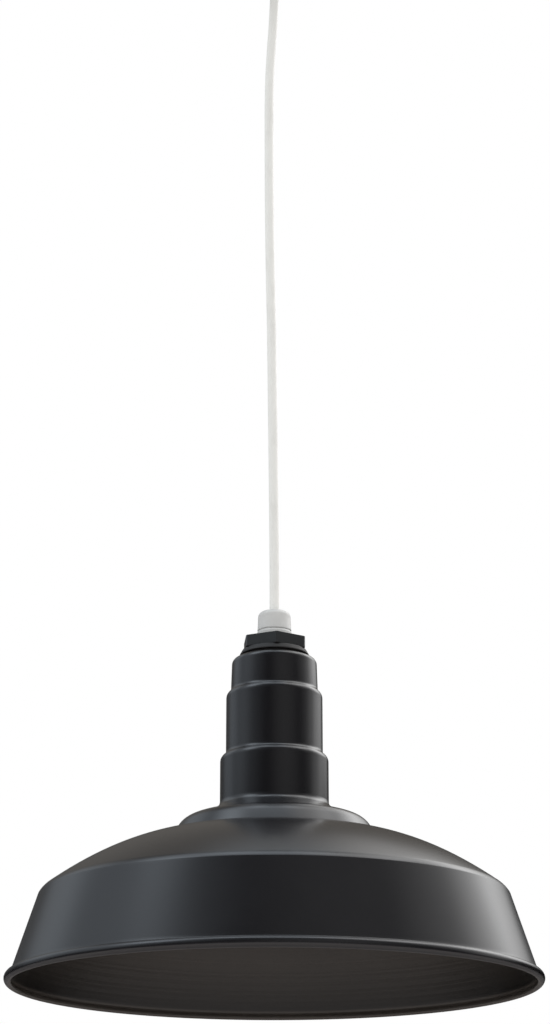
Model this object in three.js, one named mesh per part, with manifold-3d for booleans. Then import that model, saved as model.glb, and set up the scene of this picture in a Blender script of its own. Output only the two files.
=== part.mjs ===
// Pendant ceiling light: a spun metal shade under a stepped neck, hung on its supply cord from a canopy.
// Millimetres, +Z up. The origin is on the ceiling, above the middle of the canopy.
// The light faces -Y. Heights inside the head are measured up from the shade's rim.
import * as THREE from 'three';
import { mergeVertices } from 'three/addons/utils/BufferGeometryUtils.js';
import Module from 'manifold-3d';

const wasm = await Module();
wasm.setup();

// ---------- driving dimensions ----------
const GAP = 0.3;                 // clearance between pieces that touch or slide
const DROP = 925;                // ceiling down to the shade's rim

// supply cord and its three leads
const CORD_R = 3.85;
const LEAD_R = 1.2;
const CORD_LAP = 3.6;            // how far the free cord reaches into the lower cord grip
// how far the cord leans sideways, at even steps from the canopy down to the head
const CORD_LEAN = [0, -0.3, -1.5, -3.1, -4.2, -4.6, -4.6, -4.5, -4.4, -4.2, -3.9, -3.5,
  -3.0, -2.5, -2.1, -1.8, -1.5, -1.2, -0.9, -0.6, -0.35, -0.15, 0, 0];

// shade
const RIM_R = 203.2;
const BEAD_R = 3.26;
const SHEET = 1.2;
const BEAD_EXIT = 68;            // where the rim bead runs into the wall, degrees round the bead
const FLARE_R = 5.5;             // small flare between bead and wall
const WALL_LEAN = 17.8;          // degrees off plumb
const SHOULDER_Z = 64.6;
const SHOULDER_R = 13.2;
const DOME_SLOPE = 35.9;         // slope where the dome leaves the shoulder
const DOME_TOP_SLOPE = 7.3;      // slope where it reaches the collar
const DOME_RISE = 42.4;
const DOME_REACH = [0.54, 0.25];        // pull of its lower and upper end, in dome widths
const COLLAR_R = 79;
const COLLAR_SLOPE = 60;
const COLLAR_SIDE = 8.85;
const COLLAR_CORNER_R = 15;
const COLLAR_TOP_SLOPE = 4.5;
const HUB_HOLE_R = 37;

// stepped neck
const NECK_R = [42.2, 37.8, 34.1];      // lower, middle and upper tier
const TIER_H = [30.8, 42.7, 19.7];          // straight wall of each tier
const STEP_EDGE_R = 6;                  // rounded edge of each step
const STEP_ROOT_R = 4;                  // rounded root of each step
const NECK_DRAFT = 0.6;                 // how much the upper tier narrows
const NECK_SHOULDER_R = 4.8;
const NECK_WALL = 3;
const FOOT_FLARE_R = 6;
const FOOT_SLOPE = 40;
const FOOT_CONE = 10.77;                // sloping length of the foot's cone
const FOOT_LIP = 1.2;
const FLARE_STEPS = 4;                  // facets of the foot's flare

// retaining ring and its screws
const RING_T = 1.6;
const RING_MARGIN = 1.2;                // ring's outer edge inside the neck's foot
const RING_SCREWS = 3;
const M4_R = 2;
const M4_HEAD_R = 3.8;
const M4_HEAD_H = 2.4;
const FOOT_THREAD = 3.6;                // depth of the screw holes in the neck's foot
const RING_SCREW_EDGE = 5.2;            // those holes in from the neck's bore

// bushing that clamps the neck's top, its gasket and locknut
const GASKET_R = [27.5, 24.4];          // lower and upper edge
const GASKET_H = 7.9;
const HEX_R = 26.7;                     // across the corners, halved
const HEX_H = 6.7;
const HEX_TURN = 4.4;                   // degrees, nearest corner off the front
const SHANK_R = 16.7;
const LOCKNUT_R = 23.5;
const LOCKNUT_H = 4;
const SHANK_END = 2;                    // thread left below the locknut

// cord grips
const GRIP_FLANGE_R = 13.9;
const GRIP_FLANGE_H = 7.2;
const GRIP_THREAD_R = 10.3;
const GRIP_NUT_R = 13.4;
const GRIP_NUT_H = 16;
const GRIP_NUT_TOP_R = 12.95;
const GRIP_NUT_CROWN_R = 4.5;
const GRIP_NUT_END = 4.8;               // thickness of the nut's end wall
const GRIP_SPIGOT_R = 10.2;
const GRIP_SPIGOT_H = 10;
const SEAL_R = 8.1;
const SEAL_SEAT = 3;                    // spigot floor above the flange
const HEAD_GRIP_SHANK = 14.5;
const CANOPY_GRIP_SHANK = 9;
const MOUTH_R = 7.6;                    // flared mouth that lets the cord swing
const PIVOT_DEPTH = 4;                  // the cord bends this far inside that mouth

// lampholder and what carries it
const YOKE_R = 24;
const YOKE_T = 1.6;
const LEG_X = 26;                       // outer face of each leg
const LEG_W = 14;
const FOOT_LEN = 10;
const BRACKET_SCREW_X = 20;
const HOLDER_MOUTH = 128.5;             // height of the lampholder's mouth
const HOLDER_H = 52;
const HOLDER_R = [20, 22];              // mouth and body
const HOLDER_STEP = 22;                 // height of the narrower mouth
const SHELL_R = 14.3;
const SHELL_T = 0.8;
const SHELL_DEPTH = 24.3;
const SHELL_SETBACK = 1;
const CONTACT_R = 4;
const CONTACT_H = 1.8;
const HOLDER_SCREW_X = 7;
const M3_R = 1.5;
const M3_HEAD_R = 2.8;
const M3_HEAD_H = 1.8;
const TERMINAL_FLAT = 16;               // terminal pocket floor from the axis
const TERMINAL_W = 13;
const TERMINAL_H = 16;
const TERMINAL_SCREW_Z = 7;             // terminal screw above the pocket's lower edge
const TERMINAL_SCREW_LEN = 6;
const HOLDER_THREAD = 7;                // screw depth in the porcelain
const HOLDER_CHAMFER = 2;
const GROUND_SCREW_H = 30;              // ground screw above the leg's foot

// lamp
const BULB_R = 30;
const BULB_TIP = 42.5;
const BULB_NECK_R = 12;
const BULB_WALL = 1;
const BULB_SETBACK = 2;                 // glass below the cap's end
const CAP_R = 13;
const CAP_T = 0.6;
const CAP_H = 17;
const INSULATOR_R = 7;
const INSULATOR_H = 3.6;
const TIP_R = 4.6;
const TIP_H = 1.5;
const BULB_TURN = 25;                   // degrees above level where the globe turns into its neck
const BULB_NECK_H = 4;                  // straight neck below the cap
const STEM_R = 2.2;
const STEM_H = 46;
const STEM_FLARE_H = 12;
const FILAMENT_R = 0.6;
const FILAMENT_SPAN = 16;
const FILAMENT_DIP = 6;

// canopy and ceiling hardware
const CANOPY_R = 63.5;
const CANOPY_DEPTH = 25;
const CANOPY_EDGE_R = 7;
const CANOPY_T = 1.3;
const BAR_LEN = 108;
const BAR_W = 20;
const BAR_T = 3;
const SLOT_X = 45;                      // middle of each ceiling-box slot
const SLOT_LEN = 9;
const SLOT_R = 2.4;
const CANOPY_SCREW_X = 33.5;
const GROUND_X = -16;
const NUT_R = [6, 4.4];                 // wire nut, mouth and end
const NUT_LEN = 21;
const NUT_AT = [12, 26, -13];           // mouth of the wire nut on the +X side
const NUT_BORE = 3;
const NUT_CHAMFER = 1.5;
const TAIL_TOP = 14;                    // top of the cord below the ceiling
const TAIL_END = 240;                   // lower end of the cord inside the neck

// facets round each kind of turned piece
const BIG = 40;
const MEDIUM = 30;
const SMALL = 20;
const TINY = 12;

// ---------- materials ----------
function material(color, roughness, metalness) {
  return new THREE.MeshStandardMaterial({ color, roughness, metalness });
}
const BLACK = { color: 0x1b1b1d, roughness: 0.38, metalness: 0.1 };
const GRIP = { color: 0xb6b7b4, roughness: 0.5, metalness: 0 };
const JACKET = { color: 0xd2d3cf, roughness: 0.55, metalness: 0 };
const RUBBER = { color: 0x1d1a1a, roughness: 0.75, metalness: 0 };
const STEEL = { color: 0xa9acae, roughness: 0.35, metalness: 0.9 };
const BRASS = { color: 0xb88f45, roughness: 0.3, metalness: 0.9 };
const SILVER = { color: 0xc4c6c8, roughness: 0.25, metalness: 0.9 };
const GREEN = { color: 0x2b7d3c, roughness: 0.4, metalness: 0.5 };
const PORCELAIN = { color: 0xeeece4, roughness: 0.2, metalness: 0 };
const FROSTED = { color: 0xf2f0e8, roughness: 0.45, metalness: 0 };
const WIRE_BLACK = { color: 0x141414, roughness: 0.45, metalness: 0 };
const WIRE_WHITE = { color: 0xe8e8e4, roughness: 0.45, metalness: 0 };
const WIRE_GREEN = { color: 0x2f8a44, roughness: 0.45, metalness: 0 };
const NUT_ORANGE = { color: 0xc8642a, roughness: 0.5, metalness: 0 };

// ---------- shapes ----------
const rad = THREE.MathUtils.degToRad;
const point = (r, z) => new THREE.Vector2(r, z);

// points on a circle in the (radius, height) plane, degrees counter-clockwise from outward
function arc(r, z, radius, from, to, steps) {
  const points = [];
  for (let i = 0; i <= steps; i += 1) {
    const angle = rad(from + (to - from) * i / steps);
    points.push(point(r + radius * Math.cos(angle), z + radius * Math.sin(angle)));
  }
  return points;
}

// carries a line on through a bend; slopes are degrees above level, heading for the axis
function bend(line, from, to, radius, steps) {
  const start = line[line.length - 1];
  const side = to < from ? 1 : -1;
  const normal = (slope) => point(Math.sin(rad(slope)), Math.cos(rad(slope))).multiplyScalar(side * radius);
  const centre = start.clone().sub(normal(from));
  for (let i = 1; i <= steps; i += 1) {
    line.push(centre.clone().add(normal(from + (to - from) * i / steps)));
  }
}

// carries a line straight on for a length
function run(line, slope, length) {
  const start = line[line.length - 1];
  line.push(point(start.x - length * Math.cos(rad(slope)), start.y + length * Math.sin(rad(slope))));
}

// the same line, moved towards the inside of the sheet
function inset(line, depth) {
  return line.map((p, i) => {
    const before = line[Math.max(i - 1, 0)];
    const after = line[Math.min(i + 1, line.length - 1)];
    const a = (i > 0 ? p.clone().sub(before) : after.clone().sub(p)).normalize();
    const b = (i < line.length - 1 ? after.clone().sub(p) : p.clone().sub(before)).normalize();
    const normal = point(a.y + b.y, -a.x - b.x).divideScalar(1 + a.dot(b));
    const moved = p.clone().addScaledVector(normal, -depth);
    return p.x < 1e-6 ? point(0, moved.y) : moved;
  });
}

// a turned solid; the outline runs up the outside and down the inside
function turned(outline, facets) {
  const onAxis = outline[0].x < 1e-6;
  const closed = onAxis ? outline : [...outline, outline[0].clone()];
  return new THREE.LatheGeometry(closed, facets).rotateX(Math.PI / 2);
}

// a straight-sided ring or disc between two heights
function ring(inner, outer, low, high, facets) {
  if (inner === 0) {
    return turned([point(0, low), point(outer, low), point(outer, high), point(0, high)], facets);
  }
  return turned([point(inner, low), point(outer, low), point(outer, high), point(inner, high)], facets);
}

// a plain box between two corners
function block(low, high) {
  const size = high.map((value, i) => value - low[i]);
  const middle = high.map((value, i) => (value + low[i]) / 2);
  return new THREE.BoxGeometry(...size).translate(...middle);
}

// a round tube along points
function tube(points, radius, sides, steps) {
  const section = new THREE.Shape();
  for (let i = 0; i < sides; i += 1) {
    const angle = 2 * Math.PI * i / sides;
    const act = i === 0 ? 'moveTo' : 'lineTo';
    section[act](radius * Math.cos(angle), radius * Math.sin(angle));
  }
  section.closePath();
  const path = new THREE.CatmullRomCurve3(points.map((p) => new THREE.Vector3(...p)));
  return new THREE.ExtrudeGeometry(section, { steps, extrudePath: path, bevelEnabled: false });
}

// a pan-head screw, head below z = 0 and shank above it
function panScrew(shankR, length, headR, headH) {
  const crown = headH / 3;
  return turned([
    point(0, -headH),
    point(headR - crown, -headH),
    point(headR, -headH + crown),
    point(headR, 0),
    point(shankR, 0),
    point(shankR, length),
    point(0, length),
  ], TINY);
}

// ---------- joining and cutting ----------
function toManifold(geometry) {
  const bare = geometry.clone();
  bare.deleteAttribute('normal');
  bare.deleteAttribute('uv');
  const merged = mergeVertices(bare, 1e-4);
  const index = Array.from(merged.index.array);
  const triangles = [];
  for (let i = 0; i < index.length; i += 3) {
    const [a, b, c] = index.slice(i, i + 3);
    if (a !== b && b !== c && c !== a) triangles.push(a, b, c);
  }
  return new wasm.Manifold(new wasm.Mesh({
    numProp: 3,
    vertProperties: new Float32Array(merged.attributes.position.array),
    triVerts: new Uint32Array(triangles),
  }));
}

function fromManifold(solid) {
  const mesh = solid.getMesh();
  const geometry = new THREE.BufferGeometry();
  geometry.setAttribute('position', new THREE.BufferAttribute(mesh.vertProperties, 3));
  geometry.setIndex(new THREE.BufferAttribute(mesh.triVerts, 1));
  return geometry;
}

// joins the added shapes, then cuts the removed ones away
function carve(added, removed) {
  let solid = toManifold(added[0]);
  added.slice(1).forEach((shape) => {
    solid = solid.add(toManifold(shape));
  });
  removed.forEach((shape) => {
    solid = solid.subtract(toManifold(shape));
  });
  return fromManifold(solid);
}

function piece(parent, name, geometry, finish) {
  const { color, roughness, metalness } = finish;
  const mesh = new THREE.Mesh(geometry, material(color, roughness, metalness));
  mesh.name = name;
  parent.add(mesh);
  return mesh;
}

const light = new THREE.Group();
const ceiling = new THREE.Group();
const head = new THREE.Group();
head.position.z = -DROP;
light.add(ceiling, head);

// ---------- shade ----------
function shadeOutside() {
  const line = arc(RIM_R - BEAD_R, BEAD_R, BEAD_R, -180, BEAD_EXIT, 7);
  const wallSlope = 90 - WALL_LEAN;
  bend(line, 90 - BEAD_EXIT, wallSlope, FLARE_R, 2);
  const foot = line[line.length - 1];
  run(line, wallSlope, (SHOULDER_Z - foot.y) / Math.sin(rad(wallSlope)));
  bend(line, wallSlope, DOME_SLOPE, SHOULDER_R, 3);
  dome(line);
  run(line, COLLAR_SLOPE, COLLAR_SIDE);
  bend(line, COLLAR_SLOPE, COLLAR_TOP_SLOPE, COLLAR_CORNER_R, 3);
  const corner = line[line.length - 1];
  run(line, COLLAR_TOP_SLOPE, (corner.x - SEAT_R) / Math.cos(rad(COLLAR_TOP_SLOPE)));
  run(line, 0, SEAT_R - HUB_HOLE_R);
  return line;
}

// the dome's long curve from the shoulder to the collar
function dome(line) {
  const start = line[line.length - 1];
  const end = point(COLLAR_R, start.y + DOME_RISE);
  const width = start.x - end.x;
  const leave = point(-Math.cos(rad(DOME_SLOPE)), Math.sin(rad(DOME_SLOPE)));
  const arrive = point(Math.cos(rad(DOME_TOP_SLOPE)), -Math.sin(rad(DOME_TOP_SLOPE)));
  const curve = new THREE.CubicBezierCurve(
    start,
    start.clone().addScaledVector(leave, DOME_REACH[0] * width),
    end.clone().addScaledVector(arrive, DOME_REACH[1] * width),
    end,
  );
  line.push(...curve.getPoints(6).slice(1));
}

const NECK_FOOT_R = NECK_R[0] + FOOT_FLARE_R * (1 - Math.sin(rad(FOOT_SLOPE)))
  + FOOT_CONE * Math.cos(rad(FOOT_SLOPE));
const SEAT_R = NECK_FOOT_R + 1;
const RING_SCREW_R = NECK_R[0] - NECK_WALL + RING_SCREW_EDGE;
const outside = shadeOutside();
const SEAT_Z = outside[outside.length - 1].y;

// the ring screws' places, evenly round the hub
function ringScrewPlaces() {
  return Array.from({ length: RING_SCREWS }, (unused, i) => {
    const angle = 2 * Math.PI * (i + 0.25) / RING_SCREWS;
    return [RING_SCREW_R * Math.cos(angle), RING_SCREW_R * Math.sin(angle)];
  });
}

function makeShade() {
  const wallStart = outside.findIndex((p) => p.y > 2 * BEAD_R && p.x < RIM_R - BEAD_R);
  const inside = inset(outside, SHEET).slice(wallStart).reverse();
  const holes = ringScrewPlaces().map(([x, y]) => (
    ring(0, M4_R + GAP, SEAT_Z - SHEET - 1, SEAT_Z + 1, TINY).translate(x, y, 0)
  ));
  piece(head, 'shade', carve([turned([...outside, ...inside], BIG)], holes), BLACK);
}
makeShade();

// ---------- neck ----------
const NECK_Z = SEAT_Z + GAP;

// one rounded step from a tier to the next, which may be smaller or larger
function step(line, drop) {
  const curves = STEP_EDGE_R + STEP_ROOT_R;
  const level = Math.max(Math.abs(drop) - curves, 0);
  const swing = THREE.MathUtils.radToDeg(Math.acos(1 - (Math.abs(drop) - level) / curves));
  const turn = Math.sign(drop) * swing;
  bend(line, 90, 90 - turn, STEP_EDGE_R, 3);
  if (level > 0) run(line, 90 - turn, level);
  bend(line, 90 - turn, 90, STEP_ROOT_R, 2);
}

function neckOutside() {
  const line = [point(NECK_FOOT_R, NECK_Z), point(NECK_FOOT_R, NECK_Z + FOOT_LIP)];
  run(line, FOOT_SLOPE, FOOT_CONE);
  bend(line, FOOT_SLOPE, 90, FOOT_FLARE_R, FLARE_STEPS);
  run(line, 90, TIER_H[0]);
  step(line, NECK_R[0] - NECK_R[1]);
  run(line, 90, TIER_H[1]);
  step(line, NECK_R[1] - NECK_R[2]);
  const root = line[line.length - 1];
  const lean = THREE.MathUtils.radToDeg(Math.atan(NECK_DRAFT / TIER_H[2]));
  line.push(point(root.x - NECK_DRAFT, root.y + TIER_H[2]));
  bend(line, 90 - lean, 0, NECK_SHOULDER_R, 3);
  line.push(point(SHANK_R + GAP, line[line.length - 1].y));
  return line;
}

const neckLine = neckOutside();
const NECK_TOP = neckLine[neckLine.length - 1].y;

function makeNeck() {
  const inside = inset(neckLine.slice(FLARE_STEPS + 2), NECK_WALL);
  inside[inside.length - 1].x = SHANK_R + GAP;
  const cavityFoot = point(NECK_R[0] - NECK_WALL, NECK_Z);
  const outline = [...neckLine, ...inside.reverse(), cavityFoot];
  const holes = ringScrewPlaces().map(([x, y]) => (
    ring(0, M4_R + GAP, NECK_Z - 1, NECK_Z + FOOT_THREAD, TINY).translate(x, y, 0)
  ));
  piece(head, 'neck', carve([turned(outline, MEDIUM)], holes), BLACK);
}
makeNeck();

// ---------- retaining ring that clamps the shade up to the neck ----------
function makeRetainingRing() {
  const top = SEAT_Z - SHEET - GAP;
  const bottom = top - RING_T;
  const outer = NECK_FOOT_R - RING_MARGIN;
  const body = ring(HUB_HOLE_R + GAP, outer, bottom, top, MEDIUM);
  const holes = [];
  ringScrewPlaces().forEach(([x, y], i) => {
    holes.push(ring(0, M4_R + GAP, bottom - 1, top + 1, TINY).translate(x, y, 0));
    const length = NECK_Z + FOOT_THREAD - GAP - (bottom - GAP);
    const screw = piece(head, `ring_screw_${i + 1}`, panScrew(M4_R, length, M4_HEAD_R, M4_HEAD_H), STEEL);
    screw.position.set(x, y, bottom - GAP);
  });
  piece(head, 'retaining_ring', carve([body], holes), STEEL);
}
makeRetainingRing();

// ---------- gasket, bushing and locknut ----------
const GASKET_Z = NECK_TOP + GAP;
const HEX_Z = GASKET_Z + GASKET_H + GAP;
const HEX_TOP = HEX_Z + HEX_H;
const YOKE_TOP = NECK_TOP - NECK_WALL - GAP;
const LOCKNUT_TOP = YOKE_TOP - YOKE_T - GAP;
const LOCKNUT_Z = LOCKNUT_TOP - LOCKNUT_H;

function hexagon(radius, height, low) {
  return new THREE.CylinderGeometry(radius, radius, height, 6)
    .rotateX(Math.PI / 2)
    .rotateZ(rad(HEX_TURN))
    .translate(0, 0, low + height / 2);
}

function makeHub() {
  const gasket = turned([
    point(SHANK_R + GAP, GASKET_Z),
    point(GASKET_R[0], GASKET_Z),
    point(GASKET_R[1], GASKET_Z + GASKET_H),
    point(SHANK_R + GAP, GASKET_Z + GASKET_H),
  ], MEDIUM);
  piece(head, 'hub_gasket', gasket, RUBBER);

  const shankEnd = LOCKNUT_Z - SHANK_END;
  const shank = ring(0, SHANK_R, shankEnd, HEX_Z + HEX_H / 2, SMALL);
  const bore = ring(0, GRIP_THREAD_R + GAP, shankEnd - 1, HEX_TOP + 1, SMALL);
  piece(head, 'reducing_bushing', carve([hexagon(HEX_R, HEX_H, HEX_Z), shank], [bore]), BLACK);

  const hole = ring(0, SHANK_R + GAP, LOCKNUT_Z - 1, LOCKNUT_TOP + 1, SMALL);
  piece(head, 'head_locknut', carve([hexagon(LOCKNUT_R, LOCKNUT_H, LOCKNUT_Z)], [hole]), STEEL);
}
makeHub();

// ---------- cord grips ----------
// Each grip is drawn with its seat at height 0, its nut above and its threaded shank below.
const CORD_BORE = CORD_R + GAP;
const NUT_Z = GRIP_FLANGE_H + GAP;
const GRIP_TOP = NUT_Z + GRIP_NUT_H;
const NUT_FLOOR = GRIP_TOP - GRIP_NUT_END;

function gripBody(shank) {
  const spigotTop = GRIP_FLANGE_H + GRIP_SPIGOT_H;
  const seat = GRIP_FLANGE_H + SEAL_SEAT;
  return turned([
    point(CORD_BORE, -shank),
    point(GRIP_THREAD_R, -shank),
    point(GRIP_THREAD_R, 0),
    point(GRIP_FLANGE_R, 0),
    point(GRIP_FLANGE_R, GRIP_FLANGE_H),
    point(GRIP_SPIGOT_R, GRIP_FLANGE_H),
    point(GRIP_SPIGOT_R, spigotTop),
    point(SEAL_R + GAP, spigotTop),
    point(SEAL_R + GAP, seat),
    point(CORD_BORE, seat),
  ], SMALL);
}

function gripSeal() {
  return ring(CORD_BORE, SEAL_R, GRIP_FLANGE_H + SEAL_SEAT + GAP, NUT_FLOOR - GAP, SMALL);
}

function gripNut(mouth) {
  const crown = arc(
    GRIP_NUT_TOP_R - GRIP_NUT_CROWN_R, GRIP_TOP - GRIP_NUT_CROWN_R, GRIP_NUT_CROWN_R, 0, 90, 4,
  );
  return turned([
    point(GRIP_SPIGOT_R + GAP, NUT_Z),
    point(GRIP_NUT_R, NUT_Z),
    ...crown,
    point(mouth, GRIP_TOP),
    point(CORD_BORE + GAP / 2, NUT_FLOOR),
    point(GRIP_SPIGOT_R + GAP, NUT_FLOOR),
  ], SMALL);
}

function makeGrip(parent, name, shank, mouth, seat, upright) {
  const place = new THREE.Group();
  place.position.z = seat;
  place.rotation.x = upright ? 0 : Math.PI;
  parent.add(place);
  piece(place, `${name}_grip_body`, gripBody(shank), GRIP);
  piece(place, `${name}_grip_seal`, gripSeal(), RUBBER);
  piece(place, `${name}_grip_nut`, gripNut(mouth), GRIP);
}

const HEAD_GRIP_SEAT = HEX_TOP + GAP;
const CANOPY_GRIP_SEAT = -CANOPY_DEPTH - GAP;
makeGrip(head, 'head', HEAD_GRIP_SHANK, CORD_BORE + GAP / 2, HEAD_GRIP_SEAT, true);
makeGrip(ceiling, 'canopy', CANOPY_GRIP_SHANK, MOUTH_R, CANOPY_GRIP_SEAT, false);

// ---------- cord ----------
const PIVOT_Z = CANOPY_GRIP_SEAT - GRIP_TOP + PIVOT_DEPTH;
const CORD_TOP = PIVOT_Z - CORD_R - GAP;
const CORD_END = HEAD_GRIP_SEAT + GRIP_TOP - CORD_LAP;

function makeCord() {
  const bend = new THREE.SphereGeometry(CORD_R, TINY, 8).rotateX(Math.PI / 2);
  piece(light, 'cord_bend', bend, JACKET).position.z = PIVOT_Z;

  const length = CORD_TOP - (CORD_END - DROP);
  const last = CORD_LEAN.length - 1;
  const route = CORD_LEAN.map((lean, i) => [lean, 0, CORD_TOP - length * i / last]);
  piece(light, 'cord', tube(route, CORD_R, 10, 34), JACKET);

  const upper = ring(0, CORD_R, PIVOT_Z + CORD_R + GAP, -TAIL_TOP, TINY);
  piece(ceiling, 'cord_canopy_tail', upper, JACKET);
  const lower = ring(0, CORD_R, TAIL_END, CORD_END - GAP, TINY);
  piece(head, 'cord_head_tail', lower, JACKET);
}
makeCord();

// ---------- yoke and bracket that carry the lampholder ----------
const HOLDER_TOP = HOLDER_MOUTH + HOLDER_H;
const BRACKET_Z = HOLDER_TOP + GAP;
const BRACKET_TOP = BRACKET_Z + YOKE_T;
const YOKE_FOOT_Z = BRACKET_TOP + GAP;
const YOKE_FOOT_TOP = YOKE_FOOT_Z + YOKE_T;
const GROUND_SCREW_Z = YOKE_FOOT_TOP + GROUND_SCREW_H;

function makeYoke() {
  const half = LEG_W / 2;
  const strap = block([-LEG_X, -half, YOKE_TOP - YOKE_T], [LEG_X, half, YOKE_TOP]);
  const disc = ring(0, YOKE_R, YOKE_TOP - YOKE_T, YOKE_TOP, SMALL);
  const holes = [ring(0, SHANK_R + GAP, YOKE_TOP - YOKE_T - 1, YOKE_TOP + 1, SMALL)];
  const parts = [disc, strap];
  [-1, 1].forEach((side) => {
    const across = (from, to, low, high) => block(
      [Math.min(side * from, side * to), -half, low],
      [Math.max(side * from, side * to), half, high],
    );
    parts.push(across(LEG_X - YOKE_T, LEG_X, YOKE_FOOT_Z, YOKE_TOP));
    parts.push(across(LEG_X - FOOT_LEN, LEG_X, YOKE_FOOT_Z, YOKE_FOOT_TOP));
    const hole = ring(0, M3_R + GAP, YOKE_FOOT_Z - 1, YOKE_FOOT_TOP + 1, TINY);
    holes.push(hole.translate(side * BRACKET_SCREW_X, 0, 0));
  });
  const groundHole = ring(0, M4_R + GAP, -1, YOKE_T + 1, TINY).rotateY(Math.PI / 2);
  holes.push(groundHole.translate(LEG_X - YOKE_T, 0, GROUND_SCREW_Z));
  piece(head, 'lampholder_yoke', carve(parts, holes), STEEL);
}
makeYoke();

function makeBracket() {
  const half = LEG_W / 2;
  const end = LEG_X - YOKE_T;
  const holes = [];
  [[BRACKET_SCREW_X, 'bracket_screw'], [HOLDER_SCREW_X, 'lampholder_screw']].forEach(([x, name]) => {
    [-1, 1].forEach((side) => {
      holes.push(ring(0, M3_R + GAP, BRACKET_Z - 1, BRACKET_TOP + 1, TINY).translate(side * x, 0, 0));
      const onFoot = name === 'bracket_screw';
      const under = (onFoot ? YOKE_FOOT_TOP : BRACKET_TOP) + GAP;
      const length = under - BRACKET_Z + (onFoot ? 0 : HOLDER_THREAD);
      const screw = panScrew(M3_R, length, M3_HEAD_R, M3_HEAD_H).rotateX(Math.PI);
      piece(head, `${name}_${side < 0 ? 'left' : 'right'}`, screw, STEEL).position.set(side * x, 0, under);
    });
  });
  const bar = block([-end, -half, BRACKET_Z], [end, half, BRACKET_TOP]);
  piece(head, 'lampholder_bracket', carve([bar], holes), STEEL);
}

// ---------- lampholder ----------
const SHELL_Z = HOLDER_MOUTH + SHELL_SETBACK;
const SHELL_TOP = SHELL_Z + SHELL_DEPTH;
const HOLDER_FLOOR = SHELL_TOP + GAP;
const POCKET_Z = HOLDER_TOP - TERMINAL_H;
const TERMINAL_Z = POCKET_Z + TERMINAL_SCREW_Z;
makeBracket();

function makeLampholder() {
  const [mouthR, bodyR] = HOLDER_R;
  const stepZ = HOLDER_MOUTH + HOLDER_STEP;
  const body = turned([
    point(0, HOLDER_FLOOR),
    point(SHELL_R + GAP, HOLDER_FLOOR),
    point(SHELL_R + GAP, HOLDER_MOUTH),
    point(mouthR, HOLDER_MOUTH),
    point(mouthR, stepZ),
    point(bodyR, stepZ + bodyR - mouthR),
    point(bodyR, HOLDER_TOP - HOLDER_CHAMFER),
    point(bodyR - HOLDER_CHAMFER, HOLDER_TOP),
    point(0, HOLDER_TOP),
  ], SMALL);
  const cuts = [];
  [-1, 1].forEach((side) => {
    const near = side * TERMINAL_FLAT;
    const far = side * (bodyR + 1);
    const half = TERMINAL_W / 2;
    cuts.push(block([-half, Math.min(near, far), POCKET_Z], [half, Math.max(near, far), HOLDER_TOP + 1]));
    const depth = TERMINAL_SCREW_LEN + GAP;
    const hole = ring(0, M4_R + GAP, -1, depth, TINY).rotateX(side * Math.PI / 2);
    cuts.push(hole.translate(0, near, TERMINAL_Z));
    const thread = ring(0, M3_R + GAP, HOLDER_TOP - HOLDER_THREAD - GAP, HOLDER_TOP + 1, TINY);
    cuts.push(thread.translate(side * HOLDER_SCREW_X, 0, 0));
    const screw = panScrew(M4_R, TERMINAL_SCREW_LEN, M4_HEAD_R, M4_HEAD_H).rotateX(side * Math.PI / 2);
    const name = side > 0 ? 'terminal_screw_brass' : 'terminal_screw_silver';
    piece(head, name, screw, side > 0 ? BRASS : SILVER).position.set(0, near + side * GAP, TERMINAL_Z);
  });
  piece(head, 'lampholder_body', carve([body], cuts), PORCELAIN);

  const shell = turned([
    point(SHELL_R - SHELL_T, SHELL_Z),
    point(SHELL_R, SHELL_Z),
    point(SHELL_R, SHELL_TOP),
    point(CONTACT_R + 2, SHELL_TOP),
    point(CONTACT_R + 2, SHELL_TOP - SHELL_T),
    point(SHELL_R - SHELL_T, SHELL_TOP - SHELL_T),
  ], SMALL);
  piece(head, 'screw_shell', shell, BRASS);
  piece(head, 'centre_contact', ring(0, CONTACT_R, SHELL_TOP - CONTACT_H, SHELL_TOP, TINY), BRASS);

  const ground = panScrew(M4_R, YOKE_T + GAP, M4_HEAD_R, M4_HEAD_H).rotateY(Math.PI / 2);
  piece(head, 'yoke_ground_screw', ground, GREEN).position.set(LEG_X - YOKE_T - GAP, 0, GROUND_SCREW_Z);
}
makeLampholder();

// ---------- leads inside the neck ----------
function makeHeadLeads() {
  const top = TAIL_END - GAP;
  const drop = top - TERMINAL_Z;
  const screwY = TERMINAL_FLAT + GAP + M4_HEAD_H / 2;
  const end = TERMINAL_Z + M4_HEAD_R + GAP;
  [['black', 1, WIRE_BLACK], ['white', -1, WIRE_WHITE]].forEach(([name, side, finish]) => {
    const route = [
      [0, side * 2, top],
      [0, side * 2, top - 4],
      [0, side * 0.4 * screwY, top - 0.35 * drop],
      [0, side * 0.8 * screwY, top - 0.58 * drop],
      [0, side * screwY, top - 0.78 * drop],
      [0, side * screwY, end],
    ];
    piece(head, `head_lead_${name}`, tube(route, LEAD_R, 8, 14), finish);
  });
  const groundX = LEG_X - YOKE_T - GAP - M4_HEAD_H / 2;
  const groundEnd = GROUND_SCREW_Z + M4_HEAD_R + GAP;
  const route = [
    [2, 0, top],
    [2, 0, top - 3],
    [0.6 * groundX, 0, top - 0.4 * (top - groundEnd)],
    [0.93 * groundX, 0, top - 0.6 * (top - groundEnd)],
    [groundX, 0, groundEnd + 4],
    [groundX, 0, groundEnd],
  ];
  piece(head, 'head_lead_green', tube(route, LEAD_R, 8, 12), WIRE_GREEN);
}
makeHeadLeads();

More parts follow.
